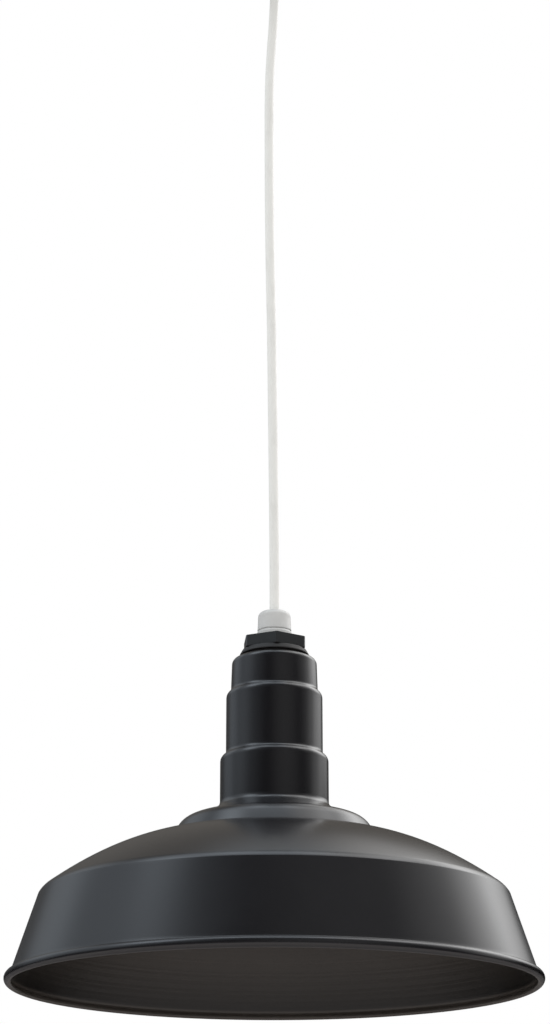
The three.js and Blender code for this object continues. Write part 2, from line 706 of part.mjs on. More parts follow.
// ---------- lamp ----------
const LAMP_TOP = SHELL_TOP - CONTACT_H - GAP;
const INSULATOR_TOP = LAMP_TOP - TIP_H - GAP;
const CAP_TOP = INSULATOR_TOP - INSULATOR_H / 2;
const CAP_Z = CAP_TOP - CAP_H;
const GLASS_TOP = CAP_TOP - CAP_T - BULB_SETBACK;
const STEM_TOP = GLASS_TOP - BULB_WALL;

function makeGlass() {
  const line = arc(0, BULB_TIP + BULB_R, BULB_R, -90, BULB_TURN, 7);
  line[0].x = 0;
  const start = line[line.length - 1];
  const end = point(BULB_NECK_R, CAP_Z - BULB_NECK_H);
  const reach = (end.y - start.y) * 0.4;
  const leave = point(-Math.sin(rad(BULB_TURN)), Math.cos(rad(BULB_TURN))).multiplyScalar(reach);
  const arrive = point(0, -reach);
  const curve = new THREE.CubicBezierCurve(start, start.clone().add(leave), end.clone().add(arrive), end);
  line.push(...curve.getPoints(4).slice(1));
  line.push(point(BULB_NECK_R, GLASS_TOP));
  const inside = inset(line, BULB_WALL).reverse();
  piece(head, 'bulb_glass', turned([...line, ...inside], SMALL), FROSTED);
}

function makeLamp() {
  makeGlass();
  const cap = turned([
    point(CAP_R - CAP_T, CAP_Z),
    point(CAP_R, CAP_Z),
    point(CAP_R, CAP_TOP),
    point(INSULATOR_R + GAP, CAP_TOP),
    point(INSULATOR_R + GAP, CAP_TOP - CAP_T),
    point(CAP_R - CAP_T, CAP_TOP - CAP_T),
  ], SMALL);
  piece(head, 'bulb_cap', cap, BRASS);
  const insulator = ring(0, INSULATOR_R, INSULATOR_TOP - INSULATOR_H, INSULATOR_TOP, SMALL);
  piece(head, 'bulb_insulator', insulator, RUBBER);
  piece(head, 'bulb_tip', ring(0, TIP_R, LAMP_TOP - TIP_H, LAMP_TOP, TINY), SILVER);

  const stemZ = STEM_TOP - STEM_H;
  const stem = turned([
    point(0, stemZ),
    point(STEM_R, stemZ),
    point(STEM_R, STEM_TOP - STEM_FLARE_H),
    point(BULB_NECK_R - BULB_WALL - GAP, STEM_TOP),
    point(0, STEM_TOP),
  ], TINY);
  piece(head, 'bulb_stem', stem, FROSTED);

  const high = stemZ - GAP - FILAMENT_R;
  const route = [-2, -1, 0, 1, 2].map((i) => (
    [i * FILAMENT_SPAN / 4, 0, high - (i % 2 === 0 ? 0 : FILAMENT_DIP)]
  ));
  piece(head, 'bulb_filament', tube(route, FILAMENT_R, 6, 16), STEEL);
}
makeLamp();

// ---------- canopy, mounting bar and ceiling wiring ----------
function makeCanopy() {
  const edge = arc(CANOPY_R - CANOPY_EDGE_R, CANOPY_EDGE_R - CANOPY_DEPTH, CANOPY_EDGE_R, -90, 0, 4);
  const outsideLine = [point(GRIP_THREAD_R + GAP, -CANOPY_DEPTH), ...edge, point(CANOPY_R, 0)];
  const insideLine = inset(outsideLine, CANOPY_T).reverse();
  const holes = [-1, 1].map((side) => (
    ring(0, M4_R + GAP, -CANOPY_DEPTH - 1, 0, TINY).translate(side * CANOPY_SCREW_X, 0, 0)
  ));
  piece(ceiling, 'canopy', carve([turned([...outsideLine, ...insideLine], MEDIUM)], holes), BLACK);

  const nutTop = -CANOPY_DEPTH + CANOPY_T + GAP + LOCKNUT_H;
  const nut = hexagon(GRIP_FLANGE_R, LOCKNUT_H, nutTop - LOCKNUT_H);
  const thread = ring(0, GRIP_THREAD_R + GAP, nutTop - LOCKNUT_H - 1, nutTop + 1, SMALL);
  piece(ceiling, 'canopy_locknut', carve([nut], [thread]), STEEL);
}
makeCanopy();

function slot(x) {
  const half = SLOT_LEN / 2 - SLOT_R;
  const path = new THREE.Path();
  path.absarc(x + half, 0, SLOT_R, -Math.PI / 2, Math.PI / 2, false);
  path.absarc(x - half, 0, SLOT_R, Math.PI / 2, 3 * Math.PI / 2, false);
  path.closePath();
  return path;
}

function roundHole(x) {
  const path = new THREE.Path();
  path.absarc(x, 0, M4_R + GAP, 0, 2 * Math.PI, false);
  return path;
}

function makeBar() {
  const shape = new THREE.Shape();
  const end = BAR_LEN / 2 - BAR_W / 2;
  shape.absarc(end, 0, BAR_W / 2, -Math.PI / 2, Math.PI / 2, false);
  shape.absarc(-end, 0, BAR_W / 2, Math.PI / 2, 3 * Math.PI / 2, false);
  shape.closePath();
  [-1, 1].forEach((side) => shape.holes.push(slot(side * SLOT_X), roundHole(side * CANOPY_SCREW_X)));
  shape.holes.push(roundHole(GROUND_X));
  const bar = new THREE.ExtrudeGeometry(shape, { depth: BAR_T, bevelEnabled: false, curveSegments: 6 });
  piece(ceiling, 'mounting_bar', bar.translate(0, 0, -BAR_T), STEEL);

  const length = CANOPY_DEPTH;
  [-1, 1].forEach((side) => {
    const screw = panScrew(M4_R, length, M4_HEAD_R, M4_HEAD_H);
    const name = `canopy_screw_${side < 0 ? 'left' : 'right'}`;
    piece(ceiling, name, screw, BLACK).position.set(side * CANOPY_SCREW_X, 0, -CANOPY_DEPTH - GAP);
  });
  const ground = panScrew(M4_R, BAR_T, M4_HEAD_R, M4_HEAD_H);
  piece(ceiling, 'bar_ground_screw', ground, GREEN).position.set(GROUND_X, 0, -BAR_T - GAP);
}
makeBar();

function makeSplices() {
  const [mouthX, mouthY, mouthZ] = NUT_AT;
  const top = -TAIL_TOP + GAP;
  const lift = mouthZ + 4;
  [['black', 1, WIRE_BLACK], ['white', -1, WIRE_WHITE]].forEach(([name, side, finish]) => {
    const route = [
      [side * 1.4, 1.4, top],
      [side * 1.4, 1.4, top + 1.5],
      [side * 2, 0.25 * mouthY, lift - 1],
      [side * 3, 0.6 * mouthY, lift],
      [side * 0.5 * mouthX, 0.9 * mouthY, mouthZ + 2],
      [side * 0.75 * mouthX, mouthY, mouthZ],
      [side * (mouthX + NUT_BORE - GAP), mouthY, mouthZ],
    ];
    piece(ceiling, `canopy_lead_${name}`, tube(route, LEAD_R, 8, 14), finish);
    const bore = LEAD_R + GAP;
    const cone = turned([
      point(0, NUT_BORE),
      point(bore, NUT_BORE),
      point(bore, 0),
      point(NUT_R[0], 0),
      point(NUT_R[1], NUT_LEN - NUT_CHAMFER),
      point(NUT_R[1] - NUT_CHAMFER, NUT_LEN),
      point(0, NUT_LEN),
    ], TINY);
    const nut = piece(ceiling, `wire_nut_${name}`, cone.rotateY(side * Math.PI / 2), NUT_ORANGE);
    nut.position.set(side * mouthX, mouthY, mouthZ);
  });
  const screwZ = -BAR_T - GAP - LEAD_R;
  const endX = GROUND_X + M4_HEAD_R + GAP;
  const route = [
    [0, -2, top],
    [0, -2, top + 2],
    [-2, -2, top + 5.4],
    [0.42 * endX, -0.8, screwZ - 1],
    [0.7 * endX, 0, screwZ],
    [endX, 0, screwZ],
  ];
  piece(ceiling, 'canopy_lead_green', tube(route, LEAD_R, 8, 12), WIRE_GREEN);
}
makeSplices();

export default light;
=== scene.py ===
"""Pendant ceiling light: a spun shade under a stepped cast neck, hung on its supply cord from a canopy."""
import math

import bmesh
import bpy
from mathutils import Matrix, Vector


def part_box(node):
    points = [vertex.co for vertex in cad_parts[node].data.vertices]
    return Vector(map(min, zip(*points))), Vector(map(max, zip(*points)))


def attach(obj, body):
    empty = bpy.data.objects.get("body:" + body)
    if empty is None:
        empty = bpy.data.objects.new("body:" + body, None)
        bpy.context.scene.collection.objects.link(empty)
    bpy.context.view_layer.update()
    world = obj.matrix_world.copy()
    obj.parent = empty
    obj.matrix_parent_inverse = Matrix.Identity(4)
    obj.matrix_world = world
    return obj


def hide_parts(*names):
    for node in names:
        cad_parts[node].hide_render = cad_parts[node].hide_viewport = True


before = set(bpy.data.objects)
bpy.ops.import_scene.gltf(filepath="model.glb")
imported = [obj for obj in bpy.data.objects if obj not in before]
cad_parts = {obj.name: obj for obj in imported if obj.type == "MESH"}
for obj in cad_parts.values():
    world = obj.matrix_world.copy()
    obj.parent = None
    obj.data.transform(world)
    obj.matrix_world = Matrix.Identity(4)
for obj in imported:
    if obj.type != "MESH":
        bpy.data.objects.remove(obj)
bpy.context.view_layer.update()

MM = 0.001
FULL = 2 * math.pi


def low(node):
    """The node's lowest height, in metres."""
    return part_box(node)[0].z


def high(node):
    """The node's highest height, in metres."""
    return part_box(node)[1].z


def middle_of(node):
    """The height halfway up the node, in metres."""
    return (low(node) + high(node)) / 2


# ---------- camera ----------
RIM = low("shade")
VIEW_DISTANCE = 1.7546
VIEW_DROP = 0.2358
VIEW_SIDE = 0.0005
VIEW_TILT = 19.34
SENSOR_WIDTH = 36
LENS = 80.86


def make_camera():
    data = bpy.data.cameras.new("camera")
    data.sensor_width = SENSOR_WIDTH
    data.lens = LENS
    camera = bpy.data.objects.new("camera", data)
    bpy.context.scene.collection.objects.link(camera)
    camera.location = (VIEW_SIDE, -VIEW_DISTANCE, RIM - VIEW_DROP)
    camera.rotation_euler = (math.radians(90 + VIEW_TILT), 0, 0)
    bpy.context.scene.camera = camera


make_camera()


# ---------- node helpers ----------
def feed(tree, socket, value):
    """Gives a socket a plain value, or links it to another node's socket."""
    if isinstance(value, bpy.types.NodeSocket):
        tree.links.new(value, socket)
    else:
        socket.default_value = value


def place(tree, kind, inputs=None, **settings):
    """Adds a shader node. An input is a value or another node's socket."""
    node = tree.nodes.new(kind)
    for key, value in settings.items():
        setattr(node, key, value)
    for key, value in (inputs or {}).items():
        feed(tree, node.inputs[key], value)
    return node


def maths(tree, operation, *values):
    return place(tree, "ShaderNodeMath", dict(enumerate(values)), operation=operation).outputs[0]


def colour(red, green, blue):
    return (red, green, blue, 1)


def blend_colours(tree, amount, first, second):
    return place(tree, "ShaderNodeMix", {0: amount, 6: first, 7: second}, data_type="RGBA").outputs[2]


def spread(tree, value, from_low, from_high, to_low, to_high):
    inputs = {0: value, 1: from_low, 2: from_high, 3: to_low, 4: to_high}
    return place(tree, "ShaderNodeMapRange", inputs).outputs[0]


def object_space(tree):
    return place(tree, "ShaderNodeTexCoord").outputs["Object"]


def noise(tree, where, scale, detail=2.0, roughness=0.5):
    inputs = {"Vector": where, "Scale": scale, "Detail": detail, "Roughness": roughness}
    return place(tree, "ShaderNodeTexNoise", inputs).outputs["Fac"]


def stretched(tree, where, scale):
    return place(tree, "ShaderNodeMapping", {"Vector": where, "Scale": scale}).outputs[0]


def new_group(name, inputs):
    """A shader node group that puts out a colour, a roughness and a height.

    Returns its tree, its inputs and its outputs."""
    tree = bpy.data.node_groups.new(name, "ShaderNodeTree")
    for label, kind, start in inputs:
        socket = tree.interface.new_socket(label, in_out="INPUT", socket_type="NodeSocket" + kind)
        socket.default_value = start
    for label, kind in (("Colour", "Color"), ("Roughness", "Float"), ("Height", "Float")):
        tree.interface.new_socket(label, in_out="OUTPUT", socket_type="NodeSocket" + kind)
    start = tree.nodes.new("NodeGroupInput")
    end = tree.nodes.new("NodeGroupOutput")
    return tree, start.outputs, end.inputs


def varied_roughness(tree, pattern, given):
    """The group's roughness, moved up and down with a pattern by its spread."""
    return maths(tree, "MULTIPLY_ADD", maths(tree, "SUBTRACT", pattern, 0.5), given["Roughness Spread"],
                 given["Roughness"])


# ---------- finishes shared by several pieces ----------
ROLL_TOP_Z = RIM + 0.006         # no painted shade below this height, where the rim's roll is
PAINTED_SHADE_START_Z = RIM + 0.0075     # full painted shade from here
PAINTED_SHADE_END_Z = RIM + 0.045        # and no painted shade any more from here


def coat_group():
    """Powder coat: orange peel, faint patches, and a little dust on faces that look up.

    Rim Shade darkens its colour towards black just above the rim, as painted shade; Rings gives it the faint
    rings that spinning leaves, and faces that look down are rougher."""
    tree, given, out = new_group(
        "powder coat",
        [("Colour", "Color", (0.0086, 0.0082, 0.0096, 1)),
         ("Patch Colour", "Color", (0.0102, 0.0097, 0.0112, 1)),
         ("Dust Colour", "Color", (0.2, 0.19, 0.18, 1)), ("Dust", "Float", 0.008),
         ("Roughness", "Float", 0.26), ("Roughness Spread", "Float", 0.04), ("Peel Size", "Float", 700.0),
         ("Grit Size", "Float", 3200.0), ("Grit", "Float", 0.3), ("Painted Rim Shade", "Float", 0.0),
         ("Rings", "Float", 0.0)])
    where = object_space(tree)
    cloud = noise(tree, where, 14.0, 3.0, 0.6)
    patch = spread(tree, cloud, 0.4, 0.7, 0.0, 1.0)
    peel = noise(tree, where, given["Peel Size"], 1.5)
    grit = noise(tree, where, given["Grit Size"], 1.0)
    facing = place(tree, "ShaderNodeSeparateXYZ", {0: place(tree, "ShaderNodeNewGeometry").outputs["Normal"]})
    upward = spread(tree, facing.outputs["Z"], 0.2, 1.0, 0.0, 1.0)
    specks = spread(tree, noise(tree, where, 420.0, 2.0, 0.7), 0.45, 0.75, 0.25, 1.0)
    dust = maths(tree, "MULTIPLY", maths(tree, "MULTIPLY", upward, specks), given["Dust"])
    patched = blend_colours(tree, patch, given["Colour"], given["Patch Colour"])
    dusted = blend_colours(tree, dust, patched, given["Dust Colour"])
    # painted shade: the colour is darkened towards black just above the rim, inside the lampshade
    above = place(tree, "ShaderNodeSeparateXYZ", {0: where}).outputs["Z"]
    painted_shade_above_roll = spread(tree, above, ROLL_TOP_Z, PAINTED_SHADE_START_Z, 0.0, given["Painted Rim Shade"])
    painted_rim_shade = maths(tree, "MULTIPLY", painted_shade_above_roll, spread(tree, above, RIM, PAINTED_SHADE_END_Z, 1.0, 0.0))
    tree.links.new(blend_colours(tree, painted_rim_shade, dusted, colour(0, 0, 0)), out["Colour"])
    rough = maths(tree, "MULTIPLY_ADD", dust, 0.9, varied_roughness(tree, cloud, given))
    underside = spread(tree, facing.outputs["Z"], -0.35, -0.8, 0.0, 0.5)
    tree.links.new(maths(tree, "ADD", underside, rough), out["Roughness"])
    rings = noise(tree, place(tree, "ShaderNodeCombineXYZ", {2: above}).outputs[0], 330.0, 3.0)
    relief = maths(tree, "MULTIPLY_ADD", grit, given["Grit"], peel)
    tree.links.new(maths(tree, "MULTIPLY_ADD", rings, given["Rings"], relief), out["Height"])
    return tree


def moulded_group():
    """Moulded plastic or rubber: fine spark-eroded grain with slight flow marks in colour and sheen."""
    tree, given, out = new_group(
        "moulded grain",
        [("Colour", "Color", (0.5, 0.5, 0.5, 1)), ("Flow Colour", "Color", (0.45, 0.45, 0.45, 1)),
         ("Roughness", "Float", 0.45), ("Roughness Spread", "Float", 0.1), ("Grain Size", "Float", 1800.0),
         ("Flow Size", "Float", 60.0)])
    where = object_space(tree)
    flow = noise(tree, where, given["Flow Size"], 3.0, 0.55)
    grain = noise(tree, where, given["Grain Size"], 2.0, 0.6)
    amount = spread(tree, flow, 0.35, 0.7, 0.0, 1.0)
    tree.links.new(blend_colours(tree, amount, given["Colour"], given["Flow Colour"]), out["Colour"])
    tree.links.new(varied_roughness(tree, grain, given), out["Roughness"])
    tree.links.new(grain, out["Height"])
    return tree


def plated_group():
    """Plated or bare metal: drawn scratches along one axis, clouded plating and darker stains."""
    tree, given, out = new_group(
        "plated metal",
        [("Colour", "Color", (0.6, 0.6, 0.6, 1)), ("Stain Colour", "Color", (0.35, 0.33, 0.3, 1)),
         ("Stain", "Float", 0.4), ("Roughness", "Float", 0.3), ("Roughness Spread", "Float", 0.2),
         ("Scratch Stretch", "Vector", (60.0, 1400.0, 1400.0))])
    where = object_space(tree)
    stretch = {0: where, 1: given["Scratch Stretch"]}
    lines = place(tree, "ShaderNodeVectorMath", stretch, operation="MULTIPLY")
    scratch = noise(tree, lines.outputs[0], 1.0, 3.0, 0.65)
    cloud = noise(tree, where, 90.0, 4.0, 0.65)
    stain = maths(tree, "MULTIPLY", spread(tree, cloud, 0.5, 0.75, 0.0, 1.0), given["Stain"])
    tree.links.new(blend_colours(tree, stain, given["Colour"], given["Stain Colour"]), out["Colour"])
    rough = varied_roughness(tree, scratch, given)
    tree.links.new(maths(tree, "MULTIPLY_ADD", stain, 0.35, rough), out["Roughness"])
    tree.links.new(scratch, out["Height"])
    return tree


def jacket_group():
    """Extruded insulation: faint drag lines along the lead, soft mottling and small scuffs."""
    tree, given, out = new_group(
        "extruded jacket",
        [("Colour", "Color", (0.71, 0.71, 0.68, 1)), ("Scuff Colour", "Color", (0.5, 0.49, 0.46, 1)),
         ("Scuff", "Float", 0.3), ("Roughness", "Float", 0.42), ("Line Size", "Float", 1500.0)])
    where = object_space(tree)
    drag = noise(tree, stretched(tree, where, (1, 1, 0.012)), given["Line Size"], 2.0)
    mottle = noise(tree, stretched(tree, where, (1, 1, 0.35)), 130.0, 4.0, 0.6)
    scuff = maths(tree, "MULTIPLY", spread(tree, mottle, 0.5, 0.78, 0.0, 1.0), given["Scuff"])
    tree.links.new(blend_colours(tree, scuff, given["Colour"], given["Scuff Colour"]), out["Colour"])
    tree.links.new(maths(tree, "MULTIPLY_ADD", scuff, 0.5, given["Roughness"]), out["Roughness"])
    tree.links.new(maths(tree, "MULTIPLY_ADD", mottle, 0.4, drag), out["Height"])
    return tree


COAT = coat_group()
MOULDED = moulded_group()
PLATED = plated_group()
JACKET = jacket_group()


def finish_of(name, group, values, bump, shader=None):
    """A material whose colour, roughness and relief come from a finish group."""
    material = bpy.data.materials.new(name)
    material.use_nodes = True
    tree = material.node_tree
    principled = tree.nodes["Principled BSDF"]
    pattern = place(tree, "ShaderNodeGroup", node_tree=group)
    for key, value in values.items():
        pattern.inputs[key].default_value = value
    strength, depth = bump
    relief = place(tree, "ShaderNodeBump",
                   {"Strength": strength, "Distance": depth, "Height": pattern.outputs["Height"]})
    tree.links.new(pattern.outputs["Colour"], principled.inputs["Base Color"])
    tree.links.new(pattern.outputs["Roughness"], principled.inputs["Roughness"])
    tree.links.new(relief.outputs["Normal"], principled.inputs["Normal"])
    for key, value in (shader or {}).items():
        principled.inputs[key].default_value = value
    return material


SPUN_COAT = finish_of("satin black coat on spun metal", COAT, {}, (0.12, 0.00003))
# The lining is the outer coat painted paler and browner: painted light that stands in for the floor's light
# inside the shade. Its Rim Shade adds painted shade just above the rim.
PAINTED_LIGHT_LINING = finish_of(
    "duller black coat inside the shade", COAT,
    {"Colour": colour(0.033, 0.0285, 0.0245), "Patch Colour": colour(0.0365, 0.0315, 0.027),
     "Roughness": 0.3, "Painted Rim Shade": 1.0, "Rings": 12.0},
    (0.25, 0.00004), {"Specular IOR Level": 0.32})
CAST_COAT = finish_of(
    "satin black coat on cast metal", COAT,
    {"Peel Size": 420.0, "Grit Size": 1700.0, "Grit": 0.6, "Roughness": 0.24}, (0.15, 0.00003))
HEX_COAT = finish_of(
    "duller black coat on the hexagon", COAT,
    {"Colour": colour(0.017, 0.018, 0.019), "Patch Colour": colour(0.02, 0.021, 0.022), "Roughness": 0.3},
    (0.2, 0.00003))
NYLON = finish_of(
    "light grey nylon", MOULDED,
    {"Colour": colour(0.515, 0.515, 0.5), "Flow Colour": colour(0.465, 0.465, 0.455), "Roughness": 0.42},
    (0.15, 0.00003), {"Subsurface Weight": 0.08, "Subsurface Radius": (0.002, 0.002, 0.002)})
CORD_JACKET = finish_of("off-white cord jacket", JACKET, {}, (0.2, 0.00003))
RUBBER = finish_of(
    "black rubber", MOULDED,
    {"Colour": colour(0.0105, 0.009, 0.0085), "Flow Colour": colour(0.016, 0.0135, 0.0125), "Roughness": 0.62,
     "Roughness Spread": 0.2, "Grain Size": 1200.0}, (0.35, 0.00006))
ZINC = finish_of(
    "bright zinc plate", PLATED,
    {"Colour": colour(0.6, 0.61, 0.62), "Stain Colour": colour(0.42, 0.42, 0.4)},
    (0.12, 0.00002), {"Metallic": 1.0})
GREEN_STEEL = finish_of(
    "green plated screw", PLATED,
    {"Colour": colour(0.05, 0.3, 0.1), "Stain Colour": colour(0.02, 0.12, 0.05), "Roughness": 0.35},
    (0.12, 0.00002), {"Metallic": 0.6})
BRASS = finish_of(
    "plain brass", PLATED,
    {"Colour": colour(0.72, 0.5, 0.2), "Stain Colour": colour(0.4, 0.25, 0.1),
     "Scratch Stretch": (1400, 1400, 60)},
    (0.12, 0.00002), {"Metallic": 1.0})
NICKEL = finish_of(
    "nickel plate", PLATED,
    {"Colour": colour(0.68, 0.67, 0.64), "Stain Colour": colour(0.5, 0.47, 0.42), "Roughness": 0.22},
    (0.1, 0.00002), {"Metallic": 1.0})
PORCELAIN = finish_of(
    "white porcelain glaze", MOULDED,
    {"Colour": colour(0.82, 0.81, 0.76), "Flow Colour": colour(0.76, 0.74, 0.68), "Roughness": 0.16,
     "Roughness Spread": 0.06, "Grain Size": 260.0},
    (0.12, 0.00006), {"Coat Weight": 0.5, "Coat Roughness": 0.08})
FROSTED = finish_of(
    "frosted glass", MOULDED,
    {"Colour": colour(0.93, 0.92, 0.89), "Flow Colour": colour(0.9, 0.89, 0.85), "Roughness": 0.5,
     "Grain Size": 2600.0}, (0.15, 0.00002), {"Transmission Weight": 0.55, "IOR": 1.5})
CLEAR_GLASS = finish_of(
    "clear stem glass", MOULDED,
    {"Colour": colour(0.93, 0.95, 0.95), "Flow Colour": colour(0.9, 0.93, 0.93), "Roughness": 0.08,
     "Roughness Spread": 0.04}, (0.05, 0.00001), {"Transmission Weight": 0.85, "IOR": 1.5})
WIRE_BLACK = finish_of(
    "black insulation", JACKET,
    {"Colour": colour(0.012, 0.012, 0.012), "Scuff Colour": colour(0.05, 0.05, 0.05), "Roughness": 0.35},
    (0.1, 0.00002))
WIRE_WHITE = finish_of(
    "white insulation", JACKET,
    {"Colour": colour(0.78, 0.78, 0.75), "Scuff Colour": colour(0.55, 0.54, 0.5), "Roughness": 0.35},
    (0.1, 0.00002))
WIRE_GREEN = finish_of(
    "green insulation", JACKET,
    {"Colour": colour(0.03, 0.24, 0.07), "Scuff Colour": colour(0.08, 0.3, 0.12), "Roughness": 0.35},
    (0.1, 0.00002))
ORANGE = finish_of(
    "orange plastic", MOULDED,
    {"Colour": colour(0.62, 0.16, 0.03), "Flow Colour": colour(0.52, 0.12, 0.02), "Roughness": 0.38},
    (0.15, 0.00003))


# ---------- putting a piece in the frame ----------
def settle(name, mesh, finish, body, slot, *nodes):
    """Makes the piece an object that rides on its body and stands for its CAD nodes."""
    piece = bpy.data.objects.new(name, mesh)
    bpy.context.scene.collection.objects.link(piece)
    mesh.materials.clear()
    mesh.materials.append(finish)
    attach(piece, body)
    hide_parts(*nodes)
    return piece


# ---------- supply cord ----------
CORD_R = 3.85
# how far the cord leans sideways, in millimetres, at even steps from its top down
CORD_LEAN = [0, -0.3, -1.5, -3.1, -4.2, -4.6, -4.6, -4.5, -4.4, -4.2, -3.9, -3.5,
             -3.0, -2.5, -2.1, -1.8, -1.5, -1.2, -0.9, -0.6, -0.35, -0.15, 0, 0]
CORD_GAP = 0.0003
CORD_TOP = low("cord_bend") - CORD_GAP
CORD_END = high("cord_head_tail") + CORD_GAP


def tube_curve(name, route, radius):
    """A round lead along a smooth line through route, in metres."""
    curve = bpy.data.curves.new(name, "CURVE")
    curve.dimensions = "3D"
    curve.bevel_depth = radius
    curve.bevel_resolution = 7
    curve.resolution_u = 6
    curve.use_fill_caps = True
    spline = curve.splines.new("BEZIER")
    spline.bezier_points.add(len(route) - 1)
    for i, where in enumerate(route):
        before = Vector(route[max(i - 1, 0)])
        after = Vector(route[min(i + 1, len(route) - 1)])
        here = Vector(where)
        along = (after - before).normalized()
        knot = spline.bezier_points[i]
        knot.co = here
        knot.handle_left = here - along * (here - before).length / 3
        knot.handle_right = here + along * (after - here).length / 3
    return curve


def make_cord():
    last = len(CORD_LEAN) - 1
    step = (CORD_TOP - CORD_END) / last
    route = [(lean * MM, 0, CORD_TOP - step * i) for i, lean in enumerate(CORD_LEAN)]
    curve = tube_curve("supply_cord", route, CORD_R * MM)
    piece = settle("supply_cord", curve, CORD_JACKET, "pendant", "cord_jacket", "cord")


make_cord()


# ---------- mesh builders ----------
def new_mesh(name, vertices, faces, crease=32):
    """A closed mesh with smooth faces and sharp edges where it turns by more than crease degrees."""
    mesh = bpy.data.meshes.new(name)
    mesh.from_pydata(vertices, [], faces)
    shape = bmesh.new()
    shape.from_mesh(mesh)
    bmesh.ops.recalc_face_normals(shape, faces=shape.faces)
    shape.to_mesh(mesh)
    shape.free()
    soften(mesh, crease)
    return mesh


def soften(mesh, crease=32):
    mesh.shade_smooth()
    mesh.set_sharp_from_angle(angle=math.radians(crease))


def lathe(name, outline, base, around, warp=None, crease=32):
    """Turns an outline of (radius, height) in millimetres round the Z axis; base is height 0 in metres."""
    vertices = []
    rows = []
    for radius, height in outline:
        if radius < 1e-6:
            rows.append([len(vertices)] * around)
            vertices.append((0, 0, base + height * MM))
            continue
        row = []
        for i in range(around):
            angle = FULL * i / around
            r, z = warp(radius, height, angle) if warp else (radius, height)
            row.append(len(vertices))
            vertices.append((r * MM * math.cos(angle), r * MM * math.sin(angle), base + z * MM))
        rows.append(row)
    faces = []
    for a, b in zip(rows, rows[1:] + rows[:1]):
        for i in range(around):
            j = (i + 1) % around
            corners = list(dict.fromkeys((a[i], a[j], b[j], b[i])))
            if len(corners) > 2:
                faces.append(corners)
    return new_mesh(name, vertices, faces, crease)


def turned_piece(name, outline, base, around, finish, body, slot, node, warp=None, crease=32):
    """A piece turned on the lathe, in its place; it stands for one CAD node."""
    return settle(name, lathe(name, outline, base, around, warp, crease), finish, body, slot, node)


class Outline(list):
    """Points (radius, height) in millimetres. Slopes are degrees above level, heading for the axis."""

    def run(self, slope, length):
        r, z = self[-1]
        angle = math.radians(slope)
        self.append((r - length * math.cos(angle), z + length * math.sin(angle)))
        return self

    def to(self, r, z):
        self.append((r, z))
        return self

    def bend(self, start, end, radius, steps):
        side = radius if end < start else -radius
        r, z = self[-1]
        centre_r = r - side * math.sin(math.radians(start))
        centre_z = z - side * math.cos(math.radians(start))
        for i in range(1, steps + 1):
            angle = math.radians(start + (end - start) * i / steps)
            self.append((centre_r + side * math.sin(angle), centre_z + side * math.cos(angle)))
        return self

    def arc(self, r, z, radius, start, end, steps):
        """Points on a circle, degrees counter-clockwise from outward."""
        for i in range(steps + 1):
            angle = math.radians(start + (end - start) * i / steps)
            self.append((r + radius * math.cos(angle), z + radius * math.sin(angle)))
        return self


def curved(pull, steps):
    """Points along the cubic curve through four control points, without the first of them."""
    points = []
    for i in range(1, steps + 1):
        t = i / steps
        shares = [(1 - t) ** 3, 3 * t * (1 - t) ** 2, 3 * t * t * (1 - t), t ** 3]
        points.append(tuple(sum((p * s for p, s in zip(pull, shares)), Vector((0, 0)))))
    return points


def inset(line, depth):
    """The same line, moved towards the inside of the sheet."""
    moved = []
    for i, (r, z) in enumerate(line):
        here = Vector((r, z))
        before = Vector(line[max(i - 1, 0)])
        after = Vector(line[min(i + 1, len(line) - 1)])
        a = (here - before if i > 0 else after - here).normalized()
        b = (after - here if i < len(line) - 1 else here - before).normalized()
        normal = Vector((a.y + b.y, -a.x - b.x)) / (1 + a.dot(b))
        moved.append(tuple(here - normal * depth))
    return moved


def rounded(corners, steps=4):
    """A closed outline through (radius, height, fillet) corners, each rounded by its fillet."""
    line = []
    for i, (r, z, fillet) in enumerate(corners):
        here = Vector((r, z))
        before = Vector(corners[i - 1][:2]) - here
        after = Vector(corners[(i + 1) % len(corners)][:2]) - here
        if fillet == 0:
            line.append((r, z))
            continue
        half = before.angle(after) / 2
        reach = min(fillet / math.tan(half), 0.49 * before.length, 0.49 * after.length)
        radius = reach * math.tan(half)
        centre = here + (before.normalized() + after.normalized()).normalized() * radius / math.sin(half)
        first = here + before.normalized() * reach - centre
        last = here + after.normalized() * reach - centre
        turn = math.atan2(first.x * last.y - first.y * last.x, first.dot(last))
        for k in range(steps + 1):
            swing = turn * k / steps
            x = first.x * math.cos(swing) - first.y * math.sin(swing)
            y = first.x * math.sin(swing) + first.y * math.cos(swing)
            line.append((centre.x + x, centre.y + y))
    return line


def divided(line, longest):
    """The same closed outline with its long stretches cut into short ones."""
    out = []
    for (r, z), (next_r, next_z) in zip(line, line[1:] + line[:1]):
        count = max(1, math.ceil(math.hypot(next_r - r, next_z - z) / longest))
        for i in range(count):
            out.append((r + (next_r - r) * i / count, z + (next_z - z) * i / count))
    return out


def mesh_from(shape, name):
    """A mesh made from the bmesh, which is then freed."""
    mesh = bpy.data.meshes.new(name)
    shape.to_mesh(mesh)
    shape.free()
    return mesh


def joined(name, meshes):
    """Several meshes as one."""
    shape = bmesh.new()
    for mesh in meshes:
        shape.from_mesh(mesh)
    return mesh_from(shape, name)


